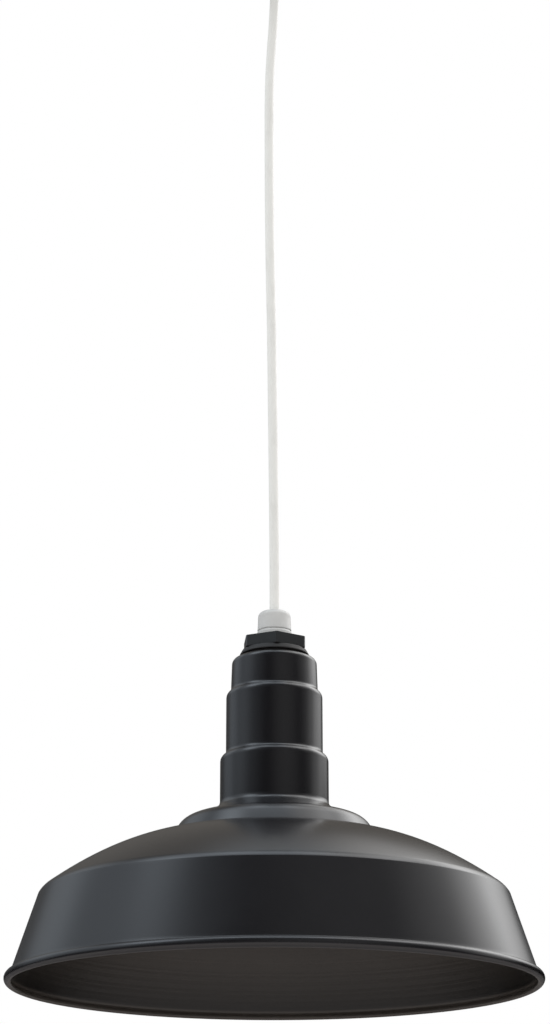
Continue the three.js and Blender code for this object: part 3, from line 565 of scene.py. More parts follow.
def cut(mesh, cutters, crease=32):
    """The mesh with the cutters' shapes taken out of it."""
    scene = bpy.context.scene.collection
    work = bpy.data.objects.new("cutting_work", mesh)
    scene.objects.link(work)
    tools = []
    for cutter in cutters:
        tool = bpy.data.objects.new("cutting_tool", cutter)
        scene.objects.link(tool)
        tools.append(tool)
        step = work.modifiers.new("cut", "BOOLEAN")
        step.operation = "DIFFERENCE"
        step.solver = "EXACT"
        step.object = tool
    done = bpy.data.meshes.new_from_object(work.evaluated_get(bpy.context.evaluated_depsgraph_get()))
    done.name = mesh.name
    for spare in [work] + tools:
        bpy.data.objects.remove(spare)
    soften(done, crease)
    return done


PLATE_CREASE = 40
UPRIGHT = Matrix.Identity(3)
UPSIDE_DOWN = Matrix.Rotation(math.pi, 3, "X")


def turned_to(mesh, rotation, place_at):
    """A copy of the mesh, rotated about the origin and then moved."""
    copy = mesh.copy()
    copy.transform(Matrix.Translation(Vector(place_at)) @ rotation.to_4x4())
    return copy


def bar_of(name, low_corner, high_corner, edge):
    """A rectangular bar between two corners, with rounded edges, all in millimetres."""
    shape = bmesh.new()
    bmesh.ops.create_cube(shape, size=1)
    size = Vector(high_corner) - Vector(low_corner)
    middle = (Vector(high_corner) + Vector(low_corner)) / 2
    for vertex in shape.verts:
        vertex.co = Vector(vertex.co[i] * size[i] + middle[i] for i in range(3)) * MM
    bmesh.ops.bevel(shape, geom=shape.edges[:], offset=edge * MM, segments=3, affect="EDGES", profile=0.5)
    mesh = mesh_from(shape, name)
    soften(mesh, PLATE_CREASE)
    return mesh


def circle(x, y, radius, steps):
    angles = [FULL * i / steps for i in range(steps)]
    return [(x + radius * math.cos(angle), y + radius * math.sin(angle)) for angle in angles]


def stadium(x, y, length, radius, steps):
    """A slot's outline, long in X."""
    half = length / 2 - radius
    right = [(x + half + radius * math.cos(a), y + radius * math.sin(a))
             for a in (math.pi * (i / steps - 0.5) for i in range(steps + 1))]
    left = [(x - half + radius * math.cos(a), y + radius * math.sin(a))
            for a in (math.pi * (i / steps + 0.5) for i in range(steps + 1))]
    return right + left


def pressed_plate(name, edge_line, holes, foot, thickness, rounding=0.3):
    """A flat pressed plate with holes; foot is its lower face in metres, the rest is in millimetres."""
    curve = bpy.data.curves.new(name, "CURVE")
    curve.dimensions = "2D"
    curve.fill_mode = "BOTH"
    for loop in [edge_line] + holes:
        spline = curve.splines.new("POLY")
        spline.points.add(len(loop) - 1)
        for knot, (x, y) in zip(spline.points, loop):
            knot.co = (x * MM, y * MM, 0, 1)
        spline.use_cyclic_u = True
    curve.extrude = (thickness / 2 - rounding) * MM
    curve.bevel_depth = rounding * MM
    curve.bevel_resolution = 2
    curve.offset = -rounding * MM
    work = bpy.data.objects.new(name, curve)
    bpy.context.scene.collection.objects.link(work)
    mesh = bpy.data.meshes.new_from_object(work.evaluated_get(bpy.context.evaluated_depsgraph_get()))
    bpy.data.objects.remove(work)
    mesh.transform(Matrix.Translation((0, 0, foot + thickness / 2 * MM)))
    mesh.name = name
    soften(mesh, PLATE_CREASE)
    return mesh


def bent_strap(name, line, thickness, width, edge=0.25):
    """A strap bent along line in the XZ plane, width in Y, all in millimetres."""
    other = inset(line, thickness)
    shape = bmesh.new()
    rings = []
    half = width / 2
    for (x, z), (far_x, far_z) in zip(line, other):
        near = (x + (far_x - x) * edge / thickness, z + (far_z - z) * edge / thickness)
        far = (far_x + (x - far_x) * edge / thickness, far_z + (z - far_z) * edge / thickness)
        ring = [(x, -half + edge, z), (x, half - edge, z), (near[0], half, near[1]), (far[0], half, far[1]),
                (far_x, half - edge, far_z), (far_x, -half + edge, far_z), (far[0], -half, far[1]),
                (near[0], -half, near[1])]
        rings.append([shape.verts.new(Vector(p) * MM) for p in ring])
    for a, b in zip(rings, rings[1:]):
        for i in range(8):
            shape.faces.new((a[i], a[(i + 1) % 8], b[(i + 1) % 8], b[i]))
    shape.faces.new(rings[0])
    shape.faces.new(rings[-1][::-1])
    bmesh.ops.recalc_face_normals(shape, faces=shape.faces)
    mesh = mesh_from(shape, name)
    soften(mesh, PLATE_CREASE)
    return mesh


CORNER_HALF = 30          # degrees from the middle of a flat to its corners
CORNER_SOFT = 0.42        # how much is off the corner
CORNER_SPREAD = 1.6       # degrees over which it is taken off
HEX_STEPS = (-30, -29.6, -29.1, -28.4, -27.4, -25, -20, -12, -4, 4, 12, 20, 25, 27.4, 28.4, 29.1, 29.6)


def hex_prism(name, corner_r, foot, height, bore_r, turn, crown, slope):
    """A hexagon round a bore, its corners a little soft; foot in metres, the rest in millimetres.

    crown is where the lower and upper chamfers start, as shares of the corner radius; slope is theirs."""
    flat_r = corner_r * math.cos(math.pi / 6)
    vertices = []
    columns = []
    for side in range(6):
        for step in HEX_STEPS:
            angle = math.radians(60 * side + step + CORNER_HALF + turn)
            softening = CORNER_SOFT * max(0.0, 1 - (CORNER_HALF - abs(step)) / CORNER_SPREAD)
            r = flat_r / math.cos(math.radians(step)) - softening
            low_r, top_r = (min(r - 0.15, corner_r * share) for share in crown)
            fall = math.tan(math.radians(slope))
            bottom = (r - low_r) * fall
            top = height - (r - top_r) * fall
            section = [(bore_r + 0.4, 0), (low_r, 0), (r, bottom), (r, bottom + 0.1), (r, top - 0.1),
                       (r, top), (top_r, height), (bore_r + 0.4, height), (bore_r, height - 0.4),
                       (bore_r, 0.4)]
            columns.append(list(range(len(vertices), len(vertices) + len(section))))
            for a, z in section:
                vertices.append((a * MM * math.cos(angle), a * MM * math.sin(angle), foot + z * MM))
    faces = []
    for a, b in zip(columns, columns[1:] + columns[:1]):
        for i in range(len(a)):
            j = (i + 1) % len(a)
            faces.append((a[i], b[i], b[j], a[j]))
    return new_mesh(name, vertices, faces, 20)


def thread_warp(crest_r, depth, pitch, start, end):
    """Cuts a rounded thread into the stretch of a lathe outline that lies at the crest radius."""
    def warp(radius, height, angle):
        if abs(radius - crest_r) > 1e-4 or not start < height < end:
            return radius, height
        fade = min(1.0, (height - start) / (0.6 * pitch), (end - height) / (0.6 * pitch))
        wave = 0.5 - 0.5 * math.cos(FULL * height / pitch - angle)
        return radius - depth * fade * wave, height
    return warp


# ---------- screws ----------
SIDES = ((-1, "left"), (1, "right"))
RECESS_ARM = 0.17         # half the width of a recess's arm, as a share of its reach
M4_R = 2
M4_HEAD_R = 3.8
M4_HEAD = 2.4


def cross_recess(size, depth):
    """A tapered cross as a cutting tool, its mouth at height 0 and its floor above."""
    arm = size * RECESS_ARM
    cross = [(size, arm), (arm, arm), (arm, size), (-arm, size), (-arm, arm), (-size, arm),
             (-size, -arm), (-arm, -arm), (-arm, -size), (arm, -size), (arm, -arm), (size, -arm)]
    levels = [(-0.5, 1.08), (0.0, 1.0), (depth, 0.42)]
    vertices = [(x * s * MM, y * s * MM, z * MM) for z, s in levels for x, y in cross]
    faces = [tuple(range(12)), tuple(range(24, 36))]
    for level in (0, 12):
        for i in range(12):
            j = (i + 1) % 12
            faces.append((level + i, level + j, level + 12 + j, level + 12 + i))
    return new_mesh("cross_recess", vertices, faces, 20)


def pan_screw(name, shank_r, length, head_r, head_h, pitch=0.7):
    """A pan-head screw with a cross recess; the head hangs below height 0 and the shank stands above it."""
    crown = head_h / 3
    corners = [(0, -head_h, 0), (head_r - crown, -head_h + 0.12, 1.2), (head_r, -head_h + crown, 0.6),
               (head_r, 0, 0.15), (shank_r, 0, 0), (shank_r, length - 0.5, 0), (shank_r - 0.5, length, 0),
               (0, length, 0)]
    outline = divided(rounded(corners, 5), pitch / 5 if length < 9 else pitch / 3)
    warp = thread_warp(shank_r, 0.22, pitch, 0.3, length - 0.5)
    body = lathe(name, outline, 0, 40, warp, 38)
    recess = turned_to(cross_recess(head_r * 0.58, head_h * 0.62), UPRIGHT, (0, 0, -head_h * MM))
    return cut(body, [recess], 38)


def m4_screw(name, length):
    return pan_screw(name, M4_R, length, M4_HEAD_R, M4_HEAD)


def put_screw(node, mesh, rotation, seat, finish, body, slot):
    """Sets a screw made at the origin where its CAD node is; seat is where its head meets its shank."""
    return settle(node + "_detail", turned_to(mesh, rotation, seat), finish, body, slot, node)


# ---------- shade ----------
RIM_R = 203.19
BEAD_R = 4.1
COVE_R = 0.8
ROLL_R = 2.6              # the sheet's edge, rolled inside the bead
ROLL_SHIFT = 1.2          # how much further out the roll's middle is than the bead's
ROLL_TOP = 5.9
SHOULDER_Z = 66.5
SHOULDER_SLOPE = 60
SHOULDER_R = [0.73, 14.83]
SUPPORT = 2               # short stretch at each end of the wall, which keeps its shading straight
DOME_SLOPE = [35.9, 7.3]  # at its foot and at its top
DOME_TOP_R = 79
DOME_RISE = 42.4
COLLAR_SLOPE = [60, 4.5]  # of its side and of its top
COLLAR_SIDE = 8.85
COLLAR_R = 15
SHEET = 1.2
NECK_R = [42.2, 37.8, 34.1]
FOOT_SLOPE = 36
FOOT_CONE = 9.534
FOOT_FLARE_R = 6.5
NECK_FOOT_R = (NECK_R[0] + FOOT_FLARE_R * (1 - math.sin(math.radians(FOOT_SLOPE)))
               + FOOT_CONE * math.cos(math.radians(FOOT_SLOPE)))
SEAT_R = NECK_FOOT_R + 1
HUB_HOLE_R = 37
WALL_SLOPE = 72.2
SHADE_FACETS = 240


def dome_curve(line):
    """Adds the dome, from the shoulder up to the collar."""
    start = Vector(line[-1])
    end = Vector((DOME_TOP_R, start.y + DOME_RISE))
    width = start.x - end.x
    foot, top = (math.radians(slope) for slope in DOME_SLOPE)
    leave = Vector((-math.cos(foot), math.sin(foot)))
    arrive = Vector((math.cos(top), -math.sin(top)))
    line += curved([start, start + leave * 0.54 * width, end + arrive * 0.25 * width, end], 30)


def shade_outside():
    """The shade's outer outline, from under the bead up to the hole at the neck."""
    line = Outline().arc(RIM_R - BEAD_R, BEAD_R, BEAD_R, -80, 90, 24)
    line.bend(0, WALL_SLOPE, COVE_R, 5)
    wall = (SHOULDER_Z - line[-1][1]) / math.sin(math.radians(WALL_SLOPE))
    for length in (SUPPORT, wall - 2 * SUPPORT, SUPPORT):
        line.run(WALL_SLOPE, length)
    line.bend(WALL_SLOPE, SHOULDER_SLOPE, SHOULDER_R[0], 3)
    line.bend(SHOULDER_SLOPE, DOME_SLOPE[0], SHOULDER_R[1], 9)
    dome_curve(line)
    side, top = COLLAR_SLOPE
    line.run(side, COLLAR_SIDE)
    line.bend(side, top, COLLAR_R, 10)
    line.run(top, (line[-1][0] - SEAT_R) / math.cos(math.radians(top)))
    line.run(0, SEAT_R - HUB_HOLE_R)
    return line


def make_shade():
    outside = shade_outside()
    base = high("shade") - outside[-1][1] * MM
    floor = (low("shade") - base) / MM
    first = next(i for i, (r, z) in enumerate(outside) if z > 2 * BEAD_R + 1 and r < RIM_R - BEAD_R)
    inside = inset(outside, SHEET)[first:]
    wall_r, wall_z = inside[0]
    foot_r = wall_r + (wall_z - ROLL_TOP) / math.tan(math.radians(WALL_SLOPE))
    hollow = [(foot_r, ROLL_TOP), (foot_r + 0.3, ROLL_TOP - 0.7), (foot_r + 0.2, ROLL_TOP - 1.3)]
    curl = Outline().arc(RIM_R - BEAD_R + ROLL_SHIFT, ROLL_R, ROLL_R, 150, 255, 10)
    line = [(r, max(z, floor)) for r, z in outside + inside[::-1] + hollow + curl]
    mesh = lathe("spun_shade", line, base, SHADE_FACETS, None, 40)
    settle("spun_shade", mesh, SPUN_COAT, "pendant", "black_coat", "shade")
    # the inside faces take the lining, with its painted light and painted shade
    mesh.materials.append(PAINTED_LIGHT_LINING)
    for face in mesh.polygons:
        face.material_index = int(face.index >= len(outside) * SHADE_FACETS)


make_shade()


# ---------- neck ----------
STEP_R = [6, 4]           # the rounds of a step, the lower one first
TIER_RISE = [31.46, 42.7, 19.7]
TOP_TIER_LEAN = 0.6
TOP_SLOPE = 88.3
TOP_R = 4.8
NECK_BORE = 17
NECK_WALL = 3


def step_down(line, drop):
    """Adds a step from one tier of the neck to the next smaller one."""
    turn = math.degrees(math.acos(1 - drop / sum(STEP_R)))
    line.bend(90, 90 - turn, STEP_R[0], 8)
    line.bend(90 - turn, 90, STEP_R[1], 6)


def make_neck():
    base = low("neck")
    line = Outline([(NECK_FOOT_R, 0), (NECK_FOOT_R, 1.2)])
    line.run(FOOT_SLOPE, FOOT_CONE)
    line.bend(FOOT_SLOPE, 90, FOOT_FLARE_R, 12)
    wall_start = len(line) - 1
    for i in range(2):
        line.run(90, TIER_RISE[i])
        step_down(line, NECK_R[i] - NECK_R[i + 1])
    root_r, root_z = line[-1]
    line.to(root_r - TOP_TIER_LEAN, root_z + TIER_RISE[2])
    line.bend(TOP_SLOPE, 0, TOP_R, 10)
    top = line[-1][1]
    line.to(NECK_BORE, top)
    inside = inset(line[wall_start:], NECK_WALL)
    scale = (high("neck") - low("neck")) / (top * MM)
    points = list(line) + [(NECK_BORE, top - NECK_WALL)] + inside[-2::-1] + [(NECK_R[0] - NECK_WALL, 0)]
    outline = [(r, z * scale) for r, z in points]
    turned_piece("cast_neck", outline, base, 192, CAST_COAT, "pendant", "black_cast", "neck", None, 36)


make_neck()


# ---------- retaining ring and its screws ----------
RING_BORE = 37.35
RING_T = 1.6
RING_SCREW_R = 44.4
M4_HOLE_R = 2.3


def ring_screw_places():
    for i in range(3):
        angle = FULL * (i + 0.25) / 3
        yield RING_SCREW_R * math.cos(angle), RING_SCREW_R * math.sin(angle)


def make_retaining_ring():
    holes = [circle(0, 0, RING_BORE, 160)] + [circle(x, y, M4_HOLE_R, 40) for x, y in ring_screw_places()]
    edge_line = circle(0, 0, NECK_FOOT_R - 1.25, 160)
    mesh = pressed_plate("pressed_ring", edge_line, holes, low("retaining_ring"), RING_T)
    settle("pressed_ring", mesh, ZINC, "pendant", "zinc_steel", "retaining_ring")
    screw = m4_screw("ring_screw", 6.9)
    for i, (x, y) in enumerate(ring_screw_places()):
        node = "ring_screw_%d" % (i + 1)
        seat = (x * MM, y * MM, low(node) + M4_HEAD * MM)
        put_screw(node, screw, UPRIGHT, seat, ZINC, "pendant", "zinc_steel")


make_retaining_ring()


# ---------- gasket, bushing and locknut ----------
HEX_TURN = 4.4 - 90
HEAD_H = 8.9
HEAD_LAP = 1.3            # how far the hexagon reaches down round the gasket
CAD_HEAD_H = 6.7
SHANK_R = 16.7
SHANK_BORE = 10.7
NUT_CROWN = (0.88, 0.88)
NUT_SLOPE = 25


def make_gasket():
    outline = rounded([(17, 0, 0.3), (25, 0, 0.5), (25.4, 1.9, 0.4), (27.5, 2.3, 0.35), (27.3, 3.2, 0.8),
                       (25.35, 6.6, 0.4), (17, 6.6, 0.3)], 5)
    turned_piece("hub_gasket_ring", outline, low("hub_gasket"), 144, RUBBER, "pendant", "black_rubber",
                 "hub_gasket")


def make_bushing():
    foot = high("reducing_bushing") - CAD_HEAD_H * MM
    head = hex_prism("bushing_head", 26.9, foot - HEAD_LAP * MM, HEAD_H, 14.2, HEX_TURN, (1, 1), 45)
    end = (low("reducing_bushing") - foot) / MM
    outline = [(SHANK_BORE, end), (SHANK_R - 0.8, end), (SHANK_R, end + 0.8), (SHANK_R, CAD_HEAD_H),
               (SHANK_BORE, CAD_HEAD_H)]
    warp = thread_warp(SHANK_R, 0.6, 1.5, end + 0.8, -0.6)
    shank = lathe("bushing_shank", divided(outline, 0.35), foot, 72, warp)
    mesh = joined("reducing_bushing_detail", [head, shank])
    settle("reducing_bushing_detail", mesh, HEX_COAT, "pendant", "black_cast", "reducing_bushing")


def make_locknut(node, corner_r, bore_r, turn, body):
    name = node + "_detail"
    mesh = hex_prism(name, corner_r, low(node), 4, bore_r, turn, NUT_CROWN, NUT_SLOPE)
    settle(name, mesh, ZINC, body, "zinc_steel", node)


make_gasket()
make_bushing()
make_locknut("head_locknut", 23.5, 17, HEX_TURN, "pendant")


# ---------- cord grips ----------
BORE = 4.15
GRIP_H = 23.5             # from the flange's seat to the nut's top
GRIP_SHANK_R = 10.3
FLANGE_R = 13.9
GRIP_NUT_R = 12.95
NUT_ROUND = 4.5
HEAD_MOUTH = BORE + 0.15
CANOPY_MOUTH = 7.6        # flared, for the cord to bend in


def grip_pieces(place_name, body, seat, shank, mouth, upright):
    """A cord grip: flange and threaded shank, rubber seal and round-topped nut."""
    rotation = UPRIGHT if upright else UPSIDE_DOWN
    flange = rounded([
        (BORE, -shank, 0), (9.7, -shank, 0), (GRIP_SHANK_R, -shank + 0.6, 0), (GRIP_SHANK_R, 0, 0),
        (FLANGE_R, 0, 0.35), (FLANGE_R, 5.6, 0.6), (13.3, 7.2, 0.9), (11.2, 7.2, 0.2), (10.2, 7.2, 0.2),
        (10.2, 17.2, 0.4), (8.4, 17.2, 0.3), (8.4, 10.2, 0), (BORE, 10.2, 0)], 4)
    warp = thread_warp(GRIP_SHANK_R, 0.5, 1.5, -shank + 0.6, -0.3)
    nut = Outline([(10.5, 7.25), (12.5, 7.25), (GRIP_NUT_R, 7.35), (13.3, 7.65), (13.46, 8.05), (13.46, 8.5),
                   (13.3, 9.1)])
    nut.arc(GRIP_NUT_R - NUT_ROUND, GRIP_H - NUT_ROUND, NUT_ROUND, 0, 84, 14)
    nut += [(mouth + 0.6, GRIP_H), (mouth, GRIP_H - 0.3), (HEAD_MOUTH, 18.7), (10.5, 18.7)]
    seal = rounded([(BORE, 10.5, 0.4), (8.1, 10.5, 0.4), (8.1, 18.4, 0.4), (BORE, 18.4, 0.4)], 3)
    at = (0, 0, seat)
    for part, outline, shape, finish, slot in (
            ("grip_body", divided(flange, 0.4), warp, NYLON, "grey_nylon"),
            ("grip_nut", nut, None, NYLON, "grey_nylon"),
            ("grip_seal", seal, None, RUBBER, "black_rubber")):
        node = "%s_%s" % (place_name, part)
        mesh = turned_to(lathe(node, outline, 0, 96, shape, 34), rotation, at)
        settle(node + "_detail", mesh, finish, body, slot, node)


grip_pieces("head", "pendant", high("head_grip_nut") - GRIP_H * MM, 14.5, HEAD_MOUTH, True)
grip_pieces("canopy", "ceiling_fitting", low("canopy_grip_nut") + GRIP_H * MM, 9, CANOPY_MOUTH, False)


# ---------- short cord pieces ----------
def make_cord_ends():
    ball = Outline().arc(0, 0, CORD_R, -90, 90, 28)
    ball[0] = (0, -CORD_R)
    ball[-1] = (0, CORD_R)
    turned_piece("cord_flex", ball, middle_of("cord_bend"), 64, CORD_JACKET, "cord_joint", "cord_jacket",
                 "cord_bend")
    for node, body in (("cord_canopy_tail", "ceiling_fitting"), ("cord_head_tail", "pendant")):
        length = (high(node) - low(node)) / MM
        tail = rounded([(0, 0, 0), (CORD_R, 0, 0.35), (CORD_R, length, 0.35), (0, length, 0)], 4)
        turned_piece(node + "_detail", tail, low(node), 64, CORD_JACKET, body, "cord_jacket", node)


make_cord_ends()


# ---------- yoke, bracket and their screws ----------
LEG_X = 26
LEG_W = 14
LEG_BEND = 2.6
PLATE_T = 1.6
YOKE_DISC_R = 23.9
YOKE_BORE = 17
M3_R = 1.5
M3_HEAD = 1.8
M3_HOLE_R = 1.8
BRACKET_SCREW_X = 20
LAMPHOLDER_SCREW_X = 7


def make_yoke():
    node = "lampholder_yoke"
    top = high(node) / MM
    foot = low(node) / MM
    disc = pressed_plate("yoke_disc", circle(0, 0, YOKE_DISC_R, 120), [circle(0, 0, YOKE_BORE, 90)],
                         high(node) - PLATE_T * MM, PLATE_T)
    bend_x = LEG_X - LEG_BEND
    quarter = [math.radians(9 * i) for i in range(11)]
    line = [(18, top), (bend_x, top)]
    for a in quarter[1:]:
        line.append((bend_x + LEG_BEND * math.sin(a), top - LEG_BEND + LEG_BEND * math.cos(a)))
    for a in quarter:
        line.append((bend_x + LEG_BEND * math.cos(a), foot + LEG_BEND - LEG_BEND * math.sin(a)))
    line.append((LEG_X - 10, foot))
    parts = [disc]
    for side, _ in SIDES:
        leg = [(side * x, z) for x, z in line]
        parts.append(bent_strap("yoke_leg", leg, side * -PLATE_T, LEG_W))
    settle("bent_yoke", joined("bent_yoke", parts), ZINC, "pendant", "zinc_steel", node)


def make_bracket():
    node = "lampholder_bracket"
    edge_line = [(-24.4, -7), (24.4, -7), (24.4, 7), (-24.4, 7)]
    places = (-BRACKET_SCREW_X, -LAMPHOLDER_SCREW_X, LAMPHOLDER_SCREW_X, BRACKET_SCREW_X)
    holes = [circle(x, 0, M3_HOLE_R, 28) for x in places]
    plate = pressed_plate("flat_bracket", edge_line, holes, low(node), PLATE_T, 0.25)
    settle("flat_bracket", plate, ZINC, "pendant", "zinc_steel", node)
    for name, x, length in (("bracket_screw", BRACKET_SCREW_X, 3.8),
                            ("lampholder_screw", LAMPHOLDER_SCREW_X, 8.9)):
        screw = pan_screw(name, M3_R, length, 2.8, M3_HEAD, 0.5)
        for side, word in SIDES:
            node = "%s_%s" % (name, word)
            seat = (side * x * MM, 0, high(node) - M3_HEAD * MM)
            put_screw(node, screw, UPSIDE_DOWN, seat, ZINC, "pendant", "zinc_steel")


make_yoke()
make_bracket()


# ---------- lampholder ----------
HOLDER_R = 20
HOLDER_BAND_R = 22
HOLDER_BORE = 14.6
POCKET_Y = 16             # where the pockets for the terminals start
POCKET_DEPTH = 16
POCKET_HALF = 6.5
SCREW_UP = 7              # height of a terminal screw above its pocket's floor


def holder_cutters(node):
    """The shapes of the pockets, terminal screw holes and fixing holes."""
    floor = high(node) / MM - POCKET_DEPTH
    cutters = []
    for side in (-1, 1):
        near, far = sorted((side * POCKET_Y, side * 24))
        cutters.append(bar_of("pocket", (-POCKET_HALF, near, floor), (POCKET_HALF, far, floor + 20), 0.8))
        shaft = lathe("hole", [(0, -1), (M4_HOLE_R, -1), (M4_HOLE_R, 6.3), (0, 6.3)], 0, 32)
        turn = Matrix.Rotation(side * math.pi / 2, 3, "X")
        cutters.append(turned_to(shaft, turn, (0, side * POCKET_Y * MM, (floor + SCREW_UP) * MM)))
        thread = lathe("hole", [(0, -7.3), (M3_HOLE_R, -7.3), (M3_HOLE_R, 1), (0, 1)], high(node), 32)
        cutters.append(turned_to(thread, UPRIGHT, (side * LAMPHOLDER_SCREW_X * MM, 0, 0)))
    return cutters


def make_lampholder():
    node = "lampholder_body"
    foot = low(node)
    floor = (high("screw_shell") - foot) / MM + 0.3
    top = (high(node) - foot) / MM
    outline = rounded([
        (0, floor, 0), (HOLDER_BORE, floor, 0.5), (HOLDER_BORE, 0, 0.8), (HOLDER_R, 0, 1.2),
        (HOLDER_R, 22, 1.5), (HOLDER_BAND_R, 24, 1.5), (HOLDER_BAND_R, top - 2, 0.8), (HOLDER_R, top, 0.8),
        (0, top, 0)], 5)
    body = lathe("porcelain_holder", outline, foot, 120)
    settle("porcelain_holder", cut(body, holder_cutters(node), 36), PORCELAIN, "pendant", "porcelain", node)


def make_lampholder_screws():
    screw = m4_screw("terminal_screw", 6)
    for node, side, finish, slot in (("terminal_screw_brass", 1, BRASS, "brass"),
                                     ("terminal_screw_silver", -1, NICKEL, "nickel")):
        turn = Matrix.Rotation(side * math.pi / 2, 3, "X")
        seat = (0, side * (POCKET_Y + 0.3) * MM, middle_of(node))
        put_screw(node, screw, turn, seat, finish, "pendant", slot)
    node = "yoke_ground_screw"
    seat = ((LEG_X - PLATE_T - 0.3) * MM, 0, middle_of(node))
    turn = Matrix.Rotation(math.pi / 2, 3, "Y")
    put_screw(node, m4_screw("ground_screw", 1.9), turn, seat, GREEN_STEEL, "pendant", "green_steel")


LAMP_PITCH = 3.63


def make_screw_shell():
    node = "screw_shell"
    length = (high(node) - low(node)) / MM
    inner, outer = 13.9, 14.3
    floor = length - 0.8
    steps = 110
    points = [(outer, length * i / steps) for i in range(steps + 1)]
    points += [(12, length), (6, length), (6, floor), (12, floor)]
    points += [(inner, floor * (1 - i / steps)) for i in range(steps + 1)]

    def warp(radius, height, angle):
        if abs(radius - inner) > 1e-4 and abs(radius - outer) > 1e-4:
            return radius, height
        fade = max(0.0, min(1.0, height / 2, (length - 1.5 - height) / 2))
        wave = 0.5 - 0.5 * math.cos(FULL * height / LAMP_PITCH - angle)
        return radius - 0.4 * fade * wave, height

    turned_piece("threaded_shell", points, low(node), 96, BRASS, "pendant", "brass", node, warp, 50)
    node = "centre_contact"
    contact = rounded([(0, 0, 0), (3.2, 0, 0.6), (4, 0.9, 0.4), (4, 1.8, 0.2), (0, 1.8, 0)], 4)
    turned_piece("spring_contact", contact, low(node), 48, BRASS, "pendant", "brass", node)


make_lampholder()
make_lampholder_screws()
make_screw_shell()


# ---------- leads inside the neck ----------
LEAD_R = 1.2


def in_metres(route):
    return [tuple(v * MM for v in point) for point in route]


def lead(node, route, finish, body, slot):
    curve = tube_curve(node + "_detail", in_metres(route), LEAD_R * MM)
    curve.resolution_u = 10
    settle(node + "_detail", curve, finish, body, slot, node)


def make_head_leads():
    top = high("head_lead_black") / MM
    end = low("head_lead_black") / MM
    drop = top - end + 4.1
    for word, side, finish in (("black", 1, WIRE_BLACK), ("white", -1, WIRE_WHITE)):
        route = [(0, side * 2, top), (0, side * 2, top - 4), (0, side * 7, top - 0.35 * drop),
                 (0, side * 14, top - 0.58 * drop), (0, side * 17.5, top - 0.78 * drop),
                 (0, side * 17.5, end)]
        lead("head_lead_" + word, route, finish, "pendant", "wire_" + word)
    end = low("head_lead_green") / MM
    fall = top - end
    route = [(2, 0, top), (2, 0, top - 3), (13.74, 0, top - 0.4 * fall), (21.3, 0, top - 0.6 * fall),
             (22.9, 0, end + 4), (22.9, 0, end)]
    lead("head_lead_green", route, WIRE_GREEN, "pendant", "wire_green")


make_head_leads()


# ---------- lamp ----------
BULB_R = 30
BULB_WIDEST = 29.7        # the round is cut back to this
BULB_TURN = 25            # how far round the ball goes before it runs into the bulb's neck
BULB_NECK_R = 12
BULB_WALL = 0.9


def make_bulb_glass():
    node = "bulb_glass"
    foot = low(node)
    neck_start = (low("bulb_cap") - foot) / MM - 4
    top = (high(node) - foot) / MM
    line = Outline().arc(0, BULB_R, BULB_R, -90, BULB_TURN, 40)
    line[0] = (0, 0)
    start = Vector(line[-1])
    end = Vector((BULB_NECK_R, neck_start))
    reach = (end.y - start.y) * 0.4
    turn = math.radians(BULB_TURN)
    leave = Vector((-math.sin(turn), math.cos(turn))) * reach
    line += curved([start, start + leave, end - Vector((0, reach)), end], 20)
    line.to(BULB_NECK_R, top)
    inside = [(max(r, 0), z) for r, z in inset(line, BULB_WALL)]
    inside[0] = (0, inside[0][1])
    outline = [(min(r, BULB_WIDEST), z) for r, z in line] + inside[::-1]
    turned_piece("frosted_bulb", outline, foot, 128, FROSTED, "lamp", "frosted_glass", node, None, 60)


def make_bulb_cap():
    node = "bulb_cap"
    height = (high(node) - low(node)) / MM
    points = [(12.4, 0), (12.8, 0.1)]
    points += [(13, 0.4 + (height - 2.6) * i / 80) for i in range(81)]
    points += [(12.2, height - 1), (10.2, height), (7.3, height), (7.3, height - 0.6), (10, height - 0.6),
               (11.6, height - 2.2), (11.6, 0.6)]
    warp = thread_warp(13, 0.85, LAMP_PITCH, 1.6, height - 2.2)
    turned_piece("threaded_cap", points, low(node), 96, BRASS, "lamp", "brass", node, warp, 50)

    node = "bulb_insulator"
    black = rounded([(0, 0, 0), (7, 0, 0.4), (7, 2, 0.4), (5.4, 3.6, 0.6), (0, 3.6, 0)], 4)
    turned_piece("glass_insulator", black, low(node), 64, RUBBER, "lamp", "black_rubber", node)
    node = "bulb_tip"
    tip = rounded([(0, 0, 0), (4.6, 0, 0.2), (4.4, 0.8, 0.5), (2.6, 1.5, 1.2), (0, 1.5, 0)], 4)
    turned_piece("solder_tip", tip, low(node), 48, NICKEL, "lamp", "nickel", node)


FILAMENT_R = 0.55
FILAMENT_INSET = 0.6      # of the filament's bends from the top and bottom of its CAD solid


def make_bulb_inside():
    node = "bulb_stem"
    height = (high(node) - low(node)) / MM
    stem = rounded([(0, 0, 0), (2.2, 0.4, 1.2), (2.2, height - 12, 6), (10.5, height - 0.6, 1),
                    (10, height, 0.3), (0, height, 0)], 6)
    turned_piece("glass_stem", stem, low(node), 48, CLEAR_GLASS, "lamp", "stem_glass", node)
    node = "bulb_filament"
    peak = high(node) / MM - FILAMENT_INSET
    dip = low(node) / MM + FILAMENT_INSET
    route = [(x * 7.9 / 2, 0, peak if x % 2 == 0 else dip) for x in (-2, -1, 0, 1, 2)]
    curve = tube_curve("coiled_filament", in_metres(route), FILAMENT_R * MM)
    settle("coiled_filament", curve, ZINC, "lamp", "zinc_steel", node)


make_bulb_glass()
make_bulb_cap()
make_bulb_inside()


# ---------- canopy, mounting bar and ceiling wiring ----------
CANOPY_R = 63.5
CANOPY_DEPTH = 25
CANOPY_ROUND = 7
CANOPY_WALL = 1.3
CANOPY_BORE = 10.6
CANOPY_SCREW_X = 33.5
SLOT_X = 45
BAR_GROUND_X = -16
WIRE_NUT_Y = 26
WIRE_NUT_Z = -13
RIB_DEPTH = 0.35
RIBS = 12


